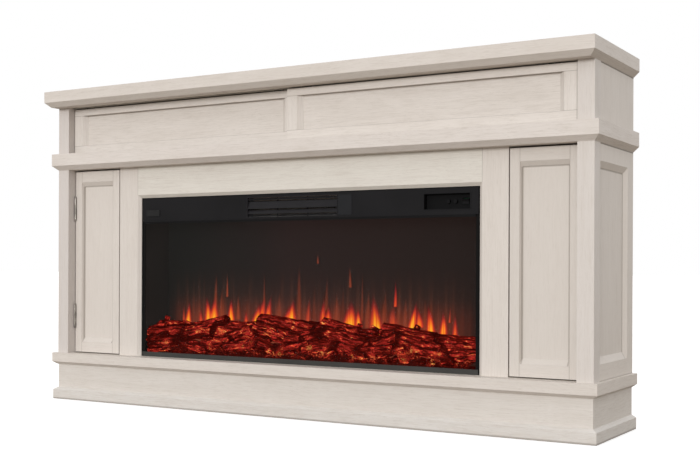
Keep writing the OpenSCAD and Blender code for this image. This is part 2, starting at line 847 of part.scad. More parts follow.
// Deck between the fire and the heater, and the duct: two cheeks, a lid and the curved back round the wheel
module blower_housing() {
    t = sheet_t;
    front = shell_front_y + 6;
    deck_top = deck_z + t;
    lid = insert_top - sheet_t - 1;
    scroll_r = 29.5;
    color(steel) {
        board([-insert_half + 2, glass_y + 0.4, deck_z], [insert_half - 2, insert_back_y - 2, deck_top]);
        for (x = [grille_x[0] - 1 - t, grille_x[1] + 1]) difference() {
            board([x, front, deck_top + joint], [x + t, wheel_at[0] + scroll_r + 3, lid]);
            rod_x(x - over, x + t + over, wheel_at, shaft_r + 2);
        }
        board([grille_x[0] - 1 + joint, front, lid - t], [grille_x[1] + 1 - joint, wheel_at[0] - joint, lid]);
        intersection() {
            tube_x(grille_x[0] - 1 + joint, grille_x[1] + 1 - joint, wheel_at, scroll_r + t, scroll_r);
            board([grille_x[0] - 2, wheel_at[0], deck_top + joint], [grille_x[1] + 2, wheel_at[0] + 40, lid]);
        }
    }
}

// Ceramic heater: two bars with fins between them
module heater_element() {
    fins = 36;
    x0 = grille_x[0] + 4;
    x1 = grille_x[1] - 4;
    y0 = shell_front_y + 22;
    pitch = (x1 - x0 - 2) / (fins - 1);
    color("#a8a39a") {
        for (z = [[deck_z + sheet_t + joint, 566], [603, insert_top - sheet_t - 2.6]])
            board([x0, y0, z[0]], [x1, y0 + 16, z[1]]);
        for (i = [0 : fins - 1]) board([x0 + i * pitch, y0 + 1, 565], [x0 + i * pitch + 1, y0 + 15, 604]);
    }
}

// ---- fire insert: electrics ----

// Control board behind the bay, and the LED strips of the ember bed and the flame effect
module circuit_boards() {
    y = bay_y + 11;
    wall_y = insert_back_y - sheet_t - joint;
    color("#1f5c3a") {
        board([bay_x[0] - 4, y, 558], [bay_x[1] + 6, y + 1.6, 612]);
        for (x = [flame_button_x, heat_button_x])
            board([x - 3, y - 5.4, switch_at[1] - 3], [x + 3, y, switch_at[1] + 3]);
        for (x = [405, 430, 500]) board([x, y + 1.6, 570], [x + 16, y + 16, 590]);
        board([-500, -58, floor_z], [500, -46, floor_z + 1.6]);
        for (i = [-12 : 12]) board([i * 40 - 2.5, -54.5, floor_z + 1.6], [i * 40 + 2.5, -49.5, floor_z + 3.2]);
        board([-440, wall_y - 1.6, floor_z + 20], [440, wall_y, floor_z + 34]);
    }
}

// Rocker: a bar with a dished front, on two stub axles, drawn tilted to its off side
module main_switch() {
    color("#18181a") translate([0, switch_at[0], switch_at[1]]) rotate([8, 0, 0]) {
        bar_x(switch_x[0], switch_x[1], [
            [4, -4], [-3, -7], [-8, -7], [-6.8, 0], [-8, 7], [-3, 7], [4, 4]
        ]);
        rod_x(switch_x[0] - 1.6, switch_x[1] + 1.6, [0, 0], 1.2);
    }
}

// Round button: a cap through the bay's back wall and a collar behind it
module push_button(x) {
    wall_back = bay_y + 1.5;
    color("#2e2e33") {
        rod_y(bay_y - 6, wall_back + 0.4, [x, switch_at[1]], button_r);
        rod_y(wall_back + 0.3, wall_back + 1.5, [x, switch_at[1]], button_r + 1.5);
    }
}

module flame_button() push_button(flame_button_x);
module heat_button() push_button(heat_button_x);

// Bushing that the mains lead would pass through
module cord_gland() {
    y0 = insert_back_y - 6;
    color("#202022") translate([gland_at[0], y0, gland_at[1]]) rotate([-90, 0, 0]) rotate_extrude() polygon([
        [4.5, 0], [8, 0], [8, 6 + joint], [12, 6 + joint], [12, 9], [7.5, 14], [4.5, 14]
    ]);
}

// Angle brackets that hold the insert to the back of the fascia, with their screws
module mounting_brackets() {
    t = 2;
    side = insert_half + joint;
    y = door_back_y + joint;
    color(steel) both_sides() for (z = [250, 500]) {
        board([side, y + 1, z], [side + t, y + 40, z + 40]);
        board([side, y, z], [side + 36, y + t, z + 40]);
        for (dz = [10, 30]) {
            rod_y(y + t - 0.2, y + t + 2.2, [side + 22, z + dz], 4);
            rod_x(side + t - 0.2, side + t + 2.2, [y + 26, z + dz], 4);
        }
    }
}

mantel_top();
mantel_moulding();
case_top();
upper_door_track();
left_post();
right_post();
left_side_panel();
right_side_panel();
side_insets();
mid_moulding();
mid_rail();
media_shelf();
lower_door_track();
bay_dividers();
fascia_rail();
fascia_stiles();
bottom_panel();
base_moulding();
plinth();
foot_moulding();
upper_back_panel();
cabinet_back_panels();
cabinet_shelves();
shelf_pins();
hinge_post_leaves();
door_catches();
left_slider_frame();
left_slider_panel();
left_slider_glides();
right_slider_frame();
right_slider_panel();
right_slider_glides();
left_door_frame();
left_door_panel();
left_door_hardware();
right_door_frame();
right_door_panel();
right_door_hardware();
firebox_shell();
control_fascia();
outlet_grille();
receiver_lens();
blank_badge();
bottom_strip();
glass_front();
log_set();
ember_bed();
flame_screen();
flicker_rotor();
rotor_drive();
blower_wheel();
blower_motor();
blower_housing();
heater_element();
circuit_boards();
main_switch();
flame_button();
heat_button();
cord_gland();
mounting_brackets();
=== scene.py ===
"""Looks of the electric fireplace: wood, steel and glass on the CAD frame, and a modelled log fire inside."""

import math
import random

import bpy
import numpy as np
from mathutils import Matrix, Vector, noise


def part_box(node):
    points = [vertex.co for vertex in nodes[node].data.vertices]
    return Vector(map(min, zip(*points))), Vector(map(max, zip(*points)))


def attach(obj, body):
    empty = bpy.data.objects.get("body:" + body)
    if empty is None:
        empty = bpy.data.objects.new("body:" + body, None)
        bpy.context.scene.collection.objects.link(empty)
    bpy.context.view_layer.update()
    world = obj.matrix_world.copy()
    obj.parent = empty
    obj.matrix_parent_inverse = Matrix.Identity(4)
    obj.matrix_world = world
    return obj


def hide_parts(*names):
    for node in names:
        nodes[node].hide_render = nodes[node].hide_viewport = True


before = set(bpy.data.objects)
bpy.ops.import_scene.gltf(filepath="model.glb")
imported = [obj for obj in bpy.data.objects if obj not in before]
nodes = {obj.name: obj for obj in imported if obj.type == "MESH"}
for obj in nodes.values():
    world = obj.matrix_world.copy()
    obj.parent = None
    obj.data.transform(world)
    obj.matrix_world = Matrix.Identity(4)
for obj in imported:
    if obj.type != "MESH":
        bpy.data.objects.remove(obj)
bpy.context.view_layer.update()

# The body that everything which doesn't move rides on
ROOT = "mantel_and_insert"


# ---- camera and studio ----


# Metres and radians, then millimetres of lens, and the share of the frame that the picture is moved up
CAMERA_PLACE, CAMERA_YAW, CAMERA_ROLL = (1.6895, -2.6522, 0.4138), 0.5341, 0.0041
CAMERA_LENS, CAMERA_SHIFT = 56.735, 0.04854
SUN_PLACE, SUN_TARGET, SUN_STRENGTH, SUN_WIDTH = (0.55, -5, 1.30), (0, 0, 0.45), 1.36, 0.26
FLOOR_HALF, FLOOR_DROP = 60, 0.0006


def link(name, data):
    made = bpy.data.objects.new(name, data)
    bpy.context.scene.collection.objects.link(made)
    return made


def camera():
    """Stands to the right of the middle, below the height of the mantel, and looks level towards the left."""
    forward = Vector((-math.sin(CAMERA_YAW), math.cos(CAMERA_YAW), 0))
    right = Vector((math.cos(CAMERA_YAW), math.sin(CAMERA_YAW), 0))
    up = Vector((0, 0, 1))
    tilted_right = right * math.cos(CAMERA_ROLL) + up * math.sin(CAMERA_ROLL)
    tilted_up = up * math.cos(CAMERA_ROLL) - right * math.sin(CAMERA_ROLL)
    data = bpy.data.cameras.new("camera")
    data.sensor_width = 36
    data.lens = CAMERA_LENS
    data.shift_y = CAMERA_SHIFT
    data.clip_end = 200
    cam = link("camera", data)
    turned = Matrix((tilted_right, tilted_up, -forward)).transposed()
    cam.matrix_world = Matrix.Translation(CAMERA_PLACE) @ turned.to_4x4()
    bpy.context.scene.camera = cam


def studio():
    """A white surround, one wide sun from the front, and a white sheet to stand on."""
    world = bpy.data.worlds.new("studio")
    bpy.context.scene.world = world
    world.use_nodes = True
    background = world.node_tree.nodes["Background"]
    background.inputs["Color"].default_value = (1, 1, 1, 1)
    background.inputs["Strength"].default_value = 1.0

    light = bpy.data.lights.new("key", "SUN")
    light.energy = SUN_STRENGTH
    light.angle = SUN_WIDTH
    key = link("key", light)
    key.location = SUN_PLACE
    key.rotation_euler = (Vector(SUN_TARGET) - Vector(SUN_PLACE)).to_track_quat("-Z", "Y").to_euler()

    mesh = bpy.data.meshes.new("floor")
    corners = [(x * FLOOR_HALF, y * FLOOR_HALF, 0) for x, y in ((-1, -1), (1, -1), (1, 1), (-1, 1))]
    mesh.from_pydata(corners, [], [(0, 1, 2, 3)])
    floor = link("floor", mesh)
    floor.location.z = -FLOOR_DROP
    # The sheet looks white, and throws back less light than it shows, as if flags stood round the object
    t = Tree("studio_floor")
    seen = t.add("LightPath")
    t.surface(t.mix(seen, (0.32, 0.28, 0.235, 1), grey(0.94)), roughness=0.9, specular=0.0,
              emission=(1, 1, 1, 1), emission_strength=t.product(seen, 0.30))
    mesh.materials.append(t.material)
    bpy.context.scene.view_settings.view_transform = "Standard"


# ---- node trees ----


class Tree:
    """A material's node tree, with short ways to add nodes."""

    def __init__(self, name):
        self.material = bpy.data.materials.new(name)
        self.material.use_nodes = True
        self.tree = self.material.node_tree
        self.tree.nodes.clear()
        self.coords = None

    def set(self, socket, value):
        if isinstance(value, bpy.types.NodeSocket):
            self.tree.links.new(value, socket)
        else:
            socket.default_value = value

    def add(self, kind, out=0, inputs=None, **settings):
        """A new node's output, with the node's inputs and its own settings filled in."""
        node = self.tree.nodes.new("ShaderNode" + kind)
        for key, value in settings.items():
            setattr(node, key, value)
        for key, value in (inputs or {}).items():
            self.set(node.inputs[key], value)
        return node.outputs[out]

    def math(self, operation, a, b=0.0, clamp=False):
        return self.add("Math", inputs={0: a, 1: b}, operation=operation, use_clamp=clamp)

    def coord(self, which="Object"):
        if self.coords is None:
            self.coords = self.tree.nodes.new("ShaderNodeTexCoord")
        return self.coords.outputs[which]

    def split(self, vector):
        node = self.tree.nodes.new("ShaderNodeSeparateXYZ")
        self.tree.links.new(vector, node.inputs[0])
        return node.outputs

    def vector(self, x, y, z):
        return self.add("CombineXYZ", inputs={0: x, 1: y, 2: z})

    def scaled(self, vector, factor, shift=(0, 0, 0)):
        """factor is one number, or one for each axis."""
        if isinstance(factor, (int, float)):
            factor = (factor, factor, factor)
        return self.add("Mapping", inputs={0: vector, 1: shift, 3: factor})

    def noise(self, vector, detail=2.0, roughness=0.5):
        values = {"Vector": vector, "Scale": 1.0, "Detail": detail, "Roughness": roughness}
        return self.add("TexNoise", inputs=values)

    def sum(self, a, b):
        """a and b are vectors."""
        return self.add("VectorMath", inputs={0: a, 1: b}, operation="ADD")

    def dimmed(self, colour, factor):
        return self.add("VectorMath", inputs={0: colour, "Scale": factor}, operation="SCALE")

    def product(self, first, *others):
        """Of values, not of vectors."""
        for other in others:
            first = self.math("MULTIPLY", first, other)
        return first

    def apart(self, a, b):
        return self.math("ABSOLUTE", self.math("SUBTRACT", a, b))

    def between(self, value, low, high, to_low=0.0, to_high=1.0):
        """Smooth step from to_low at low to to_high at high."""
        return self.add(
            "MapRange",
            inputs={0: value, 1: low, 2: high, 3: to_low, 4: to_high},
            interpolation_type="SMOOTHSTEP",
            clamp=True,
        )

    def mix(self, factor, a, b):
        """Colour a where factor is 0, and colour b where it is 1."""
        node = self.tree.nodes.new("ShaderNodeMix")
        node.data_type = "RGBA"
        for i, value in ((0, factor), (6, a), (7, b)):
            self.set(node.inputs[i], value)
        return node.outputs[2]

    def mix_vectors(self, factor, a, b):
        node = self.tree.nodes.new("ShaderNodeMix")
        node.data_type = "VECTOR"
        for i, value in ((0, factor), (4, a), (5, b)):
            self.set(node.inputs[i], value)
        return node.outputs[1]

    def ramp(self, factor, stops):
        """stops are pairs of a place from 0 to 1 and a colour."""
        node = self.tree.nodes.new("ShaderNodeValToRGB")
        self.tree.links.new(factor, node.inputs[0])
        elements = node.color_ramp.elements
        while len(elements) < len(stops):
            elements.new(0.5)
        for element, (position, colour) in zip(elements, stops):
            element.position = position
            element.color = colour
        return node.outputs[0]

    def bump(self, height, strength, distance):
        return self.add("Bump", inputs={"Height": height, "Strength": strength, "Distance": distance})

    def surface(self, colour, roughness=0.5, metallic=0.0, normal=None, specular=0.5, alpha=None,
                emission=None, emission_strength=0.0, coat=0.0):
        shader = self.tree.nodes.new("ShaderNodeBsdfPrincipled")
        values = {
            "Base Color": colour, "Roughness": roughness, "Metallic": metallic,
            "Specular IOR Level": specular, "Coat Weight": coat, "IOR": 1.45,
        }
        if normal is not None:
            values["Normal"] = normal
        if alpha is not None:
            values["Alpha"] = alpha
        if emission is not None:
            values["Emission Color"] = emission
            values["Emission Strength"] = emission_strength
        for key, value in values.items():
            self.set(shader.inputs[key], value)
        out = self.tree.nodes.new("ShaderNodeOutputMaterial")
        self.tree.links.new(shader.outputs[0], out.inputs[0])


def grey(v):
    return (v, v, v, 1)


# ---- wood ----

WHITE_LIGHT = (0.655, 0.603, 0.556, 1)
WHITE_DARK = (0.53, 0.474, 0.421, 1)
GRAIN_GAP = (0.40, 0.35, 0.30, 1)
JOINT_AND_SHADE_COLOUR = (0.16, 0.13, 0.10, 1)
PALE_LIGHT, PALE_DARK = (0.66, 0.60, 0.52, 1), (0.55, 0.49, 0.42, 1)
# Some boards differ a little in tone, and the sliders are lighter: painted light that lifts the shade under
# the mantel
TONES = {
    "mid_moulding": (0.680, 0.626, 0.584, 1), "foot_moulding": (0.668, 0.636, 0.602, 1),
    "plinth": (0.655, 0.612, 0.568, 1), "fascia_rail": (0.685, 0.650, 0.592, 1),
    "left_post": (0.612, 0.565, 0.537, 1), "right_post": (0.635, 0.588, 0.552, 1),
    "right_door": (0.620, 0.570, 0.524, 1), "slider_frame": (0.70, 0.648, 0.602, 1),
    "slider_panel": (0.69, 0.637, 0.59, 1),
}
# Width and depth of tone of the lines: a glued joint, painted shade in the crease at the foot of a bevel,
# painted shade under a moulding, an open joint with painted shade, painted shade at the outer edge of a
# slider, and a painted contact shadow at the floor
HAIRLINE = (0.0011, 0.42)
CREASE_SHADE = (0.0030, 0.42)
SHADE = (0.0032, 0.86)
JOINT_AND_SHADE = (0.0026, 0.42)
EDGE_SHADE = (0.0026, 0.40)
CONTACT_SHADOW = (0.006, 0.55)
# Sizes of the joinery that a node's box doesn't give, in metres
SIDE_RAIL_TOP, SIDE_RAIL_BACK = 0.18495, 0.13295
SLIDER_LOW_RAIL, SLIDER_TOP_RAIL = 0.023, 0.020
DOOR_STILE = 0.026
DOOR_BEVEL_SIDE, DOOR_BEVEL_TOP = 0.004, 0.0135
INSET_BEVEL = 0.0167
# Offsets of the painted shade lines: below a moulding, above the base moulding, and in from a slider's outer
# edge
SHADE_DROP, JOINT_RISE, EDGE_INSET = 0.0011, 0.0005, 0.0008
FASCIA_JOINT, FASCIA_JOINT_LOW = 0.5659, 0.630


def wood(name, along="X", rules=(), lines=(), seed=0, light=WHITE_LIGHT, dark=WHITE_DARK, strength=1.0):
    """Whitewashed open-grained veneer, with the grain along one axis.

    A rule (axis, conditions) turns the grain to another axis where its conditions hold. A condition is
    (coordinate, "<" or ">", limit). A line is (coordinate, place, conditions, width, depth of tone); it
    darkens the colour as a dark joint, or as painted shade in a crease, under a moulding, beside a post or at
    the floor.
    Besides x, y and z, a coordinate can be ax (the distance from the middle), mitre (ax + y) or side
    (how much a face looks to the side).
    """
    t = Tree(name)
    x, y, z = t.split(t.coord())
    normal = t.split(t.coord("Normal"))
    wide = t.math("ABSOLUTE", x)
    known = {"x": x, "y": y, "z": z, "ax": wide}

    def value_of(key):
        if key not in known:
            known[key] = t.math("ADD", wide, y) if key == "mitre" else t.math("ABSOLUTE", normal[0])
        return known[key]

    def masks(conditions):
        return [t.math("GREATER_THAN" if sign == ">" else "LESS_THAN", value_of(key), limit)
                for key, sign, limit in conditions]

    # Each axis has its own order of coordinates: along the grain, then across it twice
    orders = {"X": (x, y, z), "Y": (y, x, z), "Z": (z, x, y)}
    grain = t.vector(*orders[along])
    for i, (axis, conditions) in enumerate(rules):
        other = t.sum(t.vector(*orders[axis]), (3.1 * (i + 1), 0.7, 0.4))
        grain = t.mix_vectors(t.product(*masks(conditions)), grain, other)
    shift = (seed * 1.37, seed * 0.413, seed * 0.617)

    drift = t.noise(t.scaled(grain, (1.6, 7, 7), shift), detail=2)
    bend = t.vector(0.0, t.product(drift, 0.05), t.product(drift, 0.05))
    bent = t.sum(grain, bend)
    figure = t.noise(t.scaled(bent, (2.6, 90, 90), shift), detail=5, roughness=0.65)
    streaks = t.noise(t.scaled(bent, (17, 360, 360), shift), detail=4, roughness=0.68)
    pores = t.noise(t.scaled(bent, (44, 1300, 1300), shift), detail=1)
    wash = t.noise(t.scaled(grain, (7, 20, 20), shift), detail=4, roughness=0.6)
    streak_dark = t.between(streaks, 0.44, 0.72)
    pore_dark = t.between(pores, 0.60, 0.74)
    amount = t.math("ADD", t.product(t.between(figure, 0.40, 0.68), 0.16), t.product(streak_dark, 0.46))
    amount = t.math("ADD", amount, t.product(t.between(wash, 0.35, 0.7), 0.15))
    colour = t.mix(t.math("MULTIPLY", amount, strength, clamp=True), light, dark)
    colour = t.mix(t.product(pore_dark, 0.36 * strength), colour, GRAIN_GAP)
    # Each line pulls the colour towards a dark tone: a dark joint, or painted shade
    for key, place, conditions, width, depth in lines:
        distance = t.apart(value_of(key), place)
        near = t.product(t.between(distance, 0.3 * width, width, 1.0, 0.0), *masks(conditions))
        colour = t.mix(t.product(near, depth), colour, JOINT_AND_SHADE_COLOUR)
    height = t.math("ADD", t.product(pore_dark, -0.7), t.product(streaks, 0.5))
    t.surface(colour, roughness=t.math("ADD", 0.46, t.product(amount, 0.16)),
              normal=t.bump(height, 0.22, 0.0004), specular=0.32)
    return t.material


def dress(name, material):
    """Gives a CAD node one material."""
    mesh = nodes[name].data
    mesh.materials.clear()
    mesh.materials.append(material)


def dress_mouldings():
    """The top, the mouldings and the plinth, with the grain turned at their mitred corners."""
    ends = [("Y", [("side", ">", 0.7)])]
    dress("mantel_top", wood("top_wood", "X", ends, seed=1))
    for i, n in enumerate(("mantel_moulding", "mid_moulding", "base_moulding", "foot_moulding")):
        low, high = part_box(n)
        mitre = [("Y", [("mitre", ">", high.x + low.y)])]
        # A painted contact shadow darkens the foot moulding where it meets the floor
        foot = [("z", 0.0, [], *CONTACT_SHADOW)] if n == "foot_moulding" else []
        dress(n, wood(n + "_wood", "X", mitre, foot, seed=2 + i, light=TONES.get(n, WHITE_LIGHT)))
    dress("plinth", wood("plinth_wood", "X", ends, seed=7, light=TONES["plinth"]))


def dress_side(side, seed):
    """The post, side panel, sliding door and cabinet door of one side."""
    post = side + "_post"
    dress(post, wood(post + "_wood", "Z", seed=seed, light=TONES[post], strength=0.75))

    rail = [("Y", [("z", "<", SIDE_RAIL_TOP), ("y", "<", SIDE_RAIL_BACK)])]
    # Painted shade under the mantel and middle mouldings, and an open joint with painted shade above the base
    # moulding
    shade_and_joint_lines = [("z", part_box(n)[0].z - SHADE_DROP, [], *SHADE) for n in ("mantel_moulding", "mid_moulding")]
    shade_and_joint_lines.append(("z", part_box("base_moulding")[1].z + JOINT_RISE, [], *JOINT_AND_SHADE))
    dress(side + "_side_panel", wood(side + "_side_wood", "Z", rail, shade_and_joint_lines, seed=seed + 1, strength=0.6))

    low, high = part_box(side + "_slider_frame")
    low_joint, top_joint = low.z + SLIDER_LOW_RAIL, high.z - SLIDER_TOP_RAIL
    rails = [("X", [("z", "<", low_joint)]), ("X", [("z", ">", top_joint)])]
    # The line at the slider's outer end is painted shade beside the post; the other two are glued joints
    seams = [("z", low_joint, [], *HAIRLINE), ("z", top_joint, [], *HAIRLINE),
             ("ax", max(abs(low.x), abs(high.x)) - EDGE_INSET, [], *EDGE_SHADE)]
    # Both parts of a slider are lighter, as painted light against the shade under the mantel
    tone = TONES["slider_frame"]
    slider = wood(side + "_slider_frame_wood", "Z", rails, seams, seed + 2, tone, strength=0.9)
    dress(side + "_slider_frame", slider)
    panel = wood(side + "_slider_panel_wood", "X", seed=seed + 3, light=TONES["slider_panel"])
    dress(side + "_slider_panel", panel)

    tone = TONES.get(side + "_door", WHITE_LIGHT)
    low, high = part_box(side + "_door_frame")
    near, far = sorted((abs(low.x), abs(high.x)))
    near, far = near + DOOR_STILE, far - DOOR_STILE
    rails = [("X", [("ax", ">", near), ("ax", "<", far)])]
    seams = [("ax", near, [], *HAIRLINE), ("ax", far, [], *HAIRLINE)]
    door = wood(side + "_door_frame_wood", "Z", rails, seams, seed + 4, tone, strength=0.7)
    dress(side + "_door_frame", door)
    low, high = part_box(side + "_door_panel")
    # Painted shade darkens the creases at the foot of the panel's bevels
    left, right, top = low.x + DOOR_BEVEL_SIDE, high.x - DOOR_BEVEL_SIDE, high.z - DOOR_BEVEL_TOP
    crease_shades = [("x", left, [("z", "<", top)], *CREASE_SHADE), ("x", right, [("z", "<", top)], *CREASE_SHADE),
             ("z", top, [("x", ">", left), ("x", "<", right)], *CREASE_SHADE)]
    infill = wood(side + "_door_panel_wood", "Z", (), crease_shades, seed + 5, tone, strength=0.55)
    dress(side + "_door_panel", infill)


def dress_middle():
    """The insets of the sides, the boards round the fire, and the paler boards inside."""
    _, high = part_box("side_insets")
    # Painted shade darkens the creases at the foot of the inset's bevels
    rear, top = high.y - INSET_BEVEL, high.z - INSET_BEVEL
    crease_shades = [("y", rear, [("z", "<", top)], *CREASE_SHADE), ("z", top, [("y", "<", rear)], *CREASE_SHADE)]
    dress("side_insets", wood("side_inset_wood", "Z", lines=crease_shades, seed=30, strength=0.6))
    dress("mid_rail", wood("mid_rail_wood", "X", seed=31))
    dress("media_shelf", wood("media_shelf_wood", "X", seed=32))
    seam = [("ax", FASCIA_JOINT, [("z", ">", FASCIA_JOINT_LOW)], *HAIRLINE)]
    dress("fascia_rail", wood("fascia_rail_wood", "X", lines=seam, seed=33, light=TONES["fascia_rail"]))
    dress("fascia_stiles", wood("fascia_stile_wood", "Z", lines=seam, seed=34, strength=0.75))
    for i, n in enumerate(("case_top", "bottom_panel", "cabinet_shelves")):
        dress(n, wood(n + "_board", "X", seed=40 + i, light=PALE_LIGHT, dark=PALE_DARK, strength=0.7))
    dress("bay_dividers", wood("divider_board", "Z", seed=44, light=PALE_LIGHT, dark=PALE_DARK, strength=0.7))


def hardboard():
    t = Tree("hardboard")
    fibres = t.noise(t.scaled(t.coord(), 420), detail=6, roughness=0.7)
    blotches = t.noise(t.scaled(t.coord(), 9), detail=3)
    colour = t.mix(t.between(fibres, 0.35, 0.65), (0.30, 0.215, 0.14, 1), (0.41, 0.31, 0.215, 1))
    colour = t.mix(t.product(blotches, 0.25), colour, (0.22, 0.15, 0.10, 1))
    t.surface(colour, roughness=0.72, normal=t.bump(fibres, 0.3, 0.0004), specular=0.25)
    return t.material


# ---- metals, plastics and glass ----


def metal(name, colour, dark, roughness, brushed=(1, 1, 1), spots=0.0):
    """brushed stretches the fine lines along an axis, and spots is the strength of a zinc coat's patches."""
    t = Tree(name)
    lines = t.noise(t.scaled(t.coord(), tuple(900 * b for b in brushed)), detail=3)
    cloud = t.noise(t.scaled(t.coord(), 60), detail=4, roughness=0.6)
    shade = t.mix(t.between(cloud, 0.35, 0.7), colour, dark)
    if spots:
        spangle = t.add("TexVoronoi", out=1, inputs={"Vector": t.scaled(t.coord(), 170)})
        shade = t.mix(t.product(t.split(spangle)[0], spots), shade, dark)
    rough = t.math("ADD", roughness - 0.06, t.product(lines, 0.14))
    t.surface(shade, roughness=rough, metallic=1.0, normal=t.bump(lines, 0.06, 0.0002))
    return t.material


def moulded(name, colour, roughness=0.45, grain=1400, bump=0.12, specular=0.5, coat=0.0):
    """Plastic or paint of one colour with a fine grain."""
    t = Tree(name)
    fine = t.noise(t.scaled(t.coord(), grain), detail=2)
    broad = t.noise(t.scaled(t.coord(), 14), detail=3)
    darker = tuple(c * 0.8 for c in colour[:3]) + (1,)
    shade = t.mix(t.between(broad, 0.3, 0.7), colour, darker)
    rough = t.math("ADD", roughness - 0.04, t.product(fine, 0.08))
    t.surface(shade, roughness=rough, normal=t.bump(fine, bump, 0.0002), specular=specular, coat=coat)
    return t.material


def shell_coat():
    """Matt black enamel inside the firebox, faintly lifted by a painted glow of the fire."""
    t = Tree("shell_coat")
    x, y, z = t.split(t.coord())
    fine = t.noise(t.scaled(t.coord(), 2600), detail=2)
    broad = t.noise(t.scaled(t.coord(), 7), detail=3)
    # The lip round the glass and the outside of the sides are deeper black
    behind_lip = t.between(y, -0.0902, -0.0890)
    between_sides = t.between(t.math("ABSOLUTE", x), 0.552, 0.566, 1.0, 0.0)
    inside = t.product(between_sides, behind_lip)
    shade = t.mix(t.between(broad, 0.3, 0.7), (0.024, 0.0225, 0.0215, 1), (0.019, 0.0178, 0.0170, 1))
    colour = t.mix(inside, (0.0085, 0.0080, 0.0080, 1), shade)
    # Painted glow of the fire on the inside walls, stronger higher up
    painted_glow = t.product(inside, t.between(z, 0.15, 0.26, 0.15, 1.0))
    t.surface(colour, roughness=t.math("ADD", 0.5, t.product(fine, 0.1)),
              normal=t.bump(fine, 0.16, 0.0002), specular=t.between(behind_lip, 0.0, 1.0, 0.03, 0.08),
              emission=t.dimmed((0.0112, 0.0096, 0.0086), painted_glow), emission_strength=1.0)
    return t.material


# Middle and half size of the pocket that the controls sit in, as x and z
POCKET_MIDDLE, POCKET_HALF = (0.4645, 0.5845), (0.0655, 0.0205)


def panel_coat():
    """Black powder coat, more matt and darker in the pocket of the controls and on the lip over the glass:
    painted shade in the pocket, deeper black on the lip.
    """
    t = Tree("panel_coat")
    x, _, z = t.split(t.coord())
    fine = t.noise(t.scaled(t.coord(), 2600), detail=2)
    broad = t.noise(t.scaled(t.coord(), 9), detail=3)
    beside = t.apart(x, POCKET_MIDDLE[0])
    above = t.apart(z, POCKET_MIDDLE[1])
    within_width = t.math("LESS_THAN", beside, POCKET_HALF[0])
    pocket = t.product(within_width, t.math("LESS_THAN", above, POCKET_HALF[1]))
    deep = t.math("MAXIMUM", pocket, t.between(z, 0.5475, 0.5510, 0.75, 0.0))
    colour = t.mix(t.between(broad, 0.3, 0.7), (0.0118, 0.0112, 0.0124, 1), (0.0096, 0.0092, 0.0100, 1))
    # Painted shade darkens the pocket of the controls; the lip over the glass is a deeper black
    colour = t.mix(t.product(deep, 0.75), colour, (0.002, 0.002, 0.002, 1))
    rough = t.math("ADD", 0.42, t.math("ADD", t.product(fine, 0.08), t.product(deep, 0.2)))
    t.surface(colour, roughness=rough, normal=t.bump(fine, 0.16, 0.0002), specular=0.10)
    return t.material


def front_glass():
    t = Tree("front_glass")
    smear = t.noise(t.scaled(t.coord(), (3, 3, 5)), detail=3)
    t.surface((0.003, 0.003, 0.003, 1), roughness=t.math("ADD", 0.03, t.product(smear, 0.05)),
              alpha=0.08, specular=0.10)
    return t.material


def smoky_screen():
    """Dark sheet behind the logs, with painted light: the faint warm haze that the flame effect throws on it,
    over an even painted glow.
    """
    t = Tree("smoky_screen")
    x, _, z = t.split(t.coord())
    streaks = t.noise(t.vector(t.product(x, 62.0), 0.0, t.product(z, 3.0)), detail=3)
    cloud = t.noise(t.vector(t.product(x, 3.2), 0.4, t.product(z, 2.4)), detail=2)
    low = t.between(z, 0.20, 0.43, 1.0, 0.0)
    inside = t.between(t.math("ABSOLUTE", t.math("ADD", x, 0.02)), 0.42, 0.54, 1.0, 0.0)
    # Painted light of the fire: wisps, an even veil below them, and a redder band close over the logs
    haze = t.product(low, inside, t.between(streaks, 0.45, 0.75))
    veil = t.product(t.math("POWER", low, 1.5), inside)
    glow = t.math("ADD", t.product(haze, 0.088), t.product(veil, 0.060))
    foot = t.product(t.between(z, 0.245, 0.335, 0.082, 0.0), inside,
                     t.between(streaks, 0.30, 0.65, 0.6, 1.35))
    # An even painted glow that hides the shade under the top, neutral at the left end and warmer towards the
    # right
    place = t.math("ADD", t.between(x, -0.6, 0.6), t.product(t.math("SUBTRACT", cloud, 0.5), 0.3))
    even_painted_glow = t.ramp(place, [
        (0.0, (0.0126, 0.0122, 0.0110, 1)), (0.38, (0.0236, 0.0138, 0.0126, 1)),
        (0.78, (0.0204, 0.0120, 0.0104, 1)), (1.0, (0.0156, 0.0094, 0.0078, 1)),
    ])
    emission = t.sum(t.sum(even_painted_glow, t.dimmed((1.0, 0.28, 0.13), glow)), t.dimmed((1.0, 0.05, 0.0), foot))
    t.surface((0.0055, 0.0048, 0.0046, 1), roughness=0.5, specular=0.05,
              emission=emission, emission_strength=1.0)
    return t.material


def circuit_green():
    t = Tree("circuit_green")
    cells = t.add("TexVoronoi", inputs={"Vector": t.scaled(t.coord(), 260)}, distance="CHEBYCHEV")
    tracks = t.between(cells, 0.30, 0.34)
    colour = t.mix(tracks, (0.012, 0.10, 0.045, 1), (0.02, 0.17, 0.075, 1))
    t.surface(colour, roughness=0.35, normal=t.bump(tracks, 0.1, 0.0001))
    return t.material


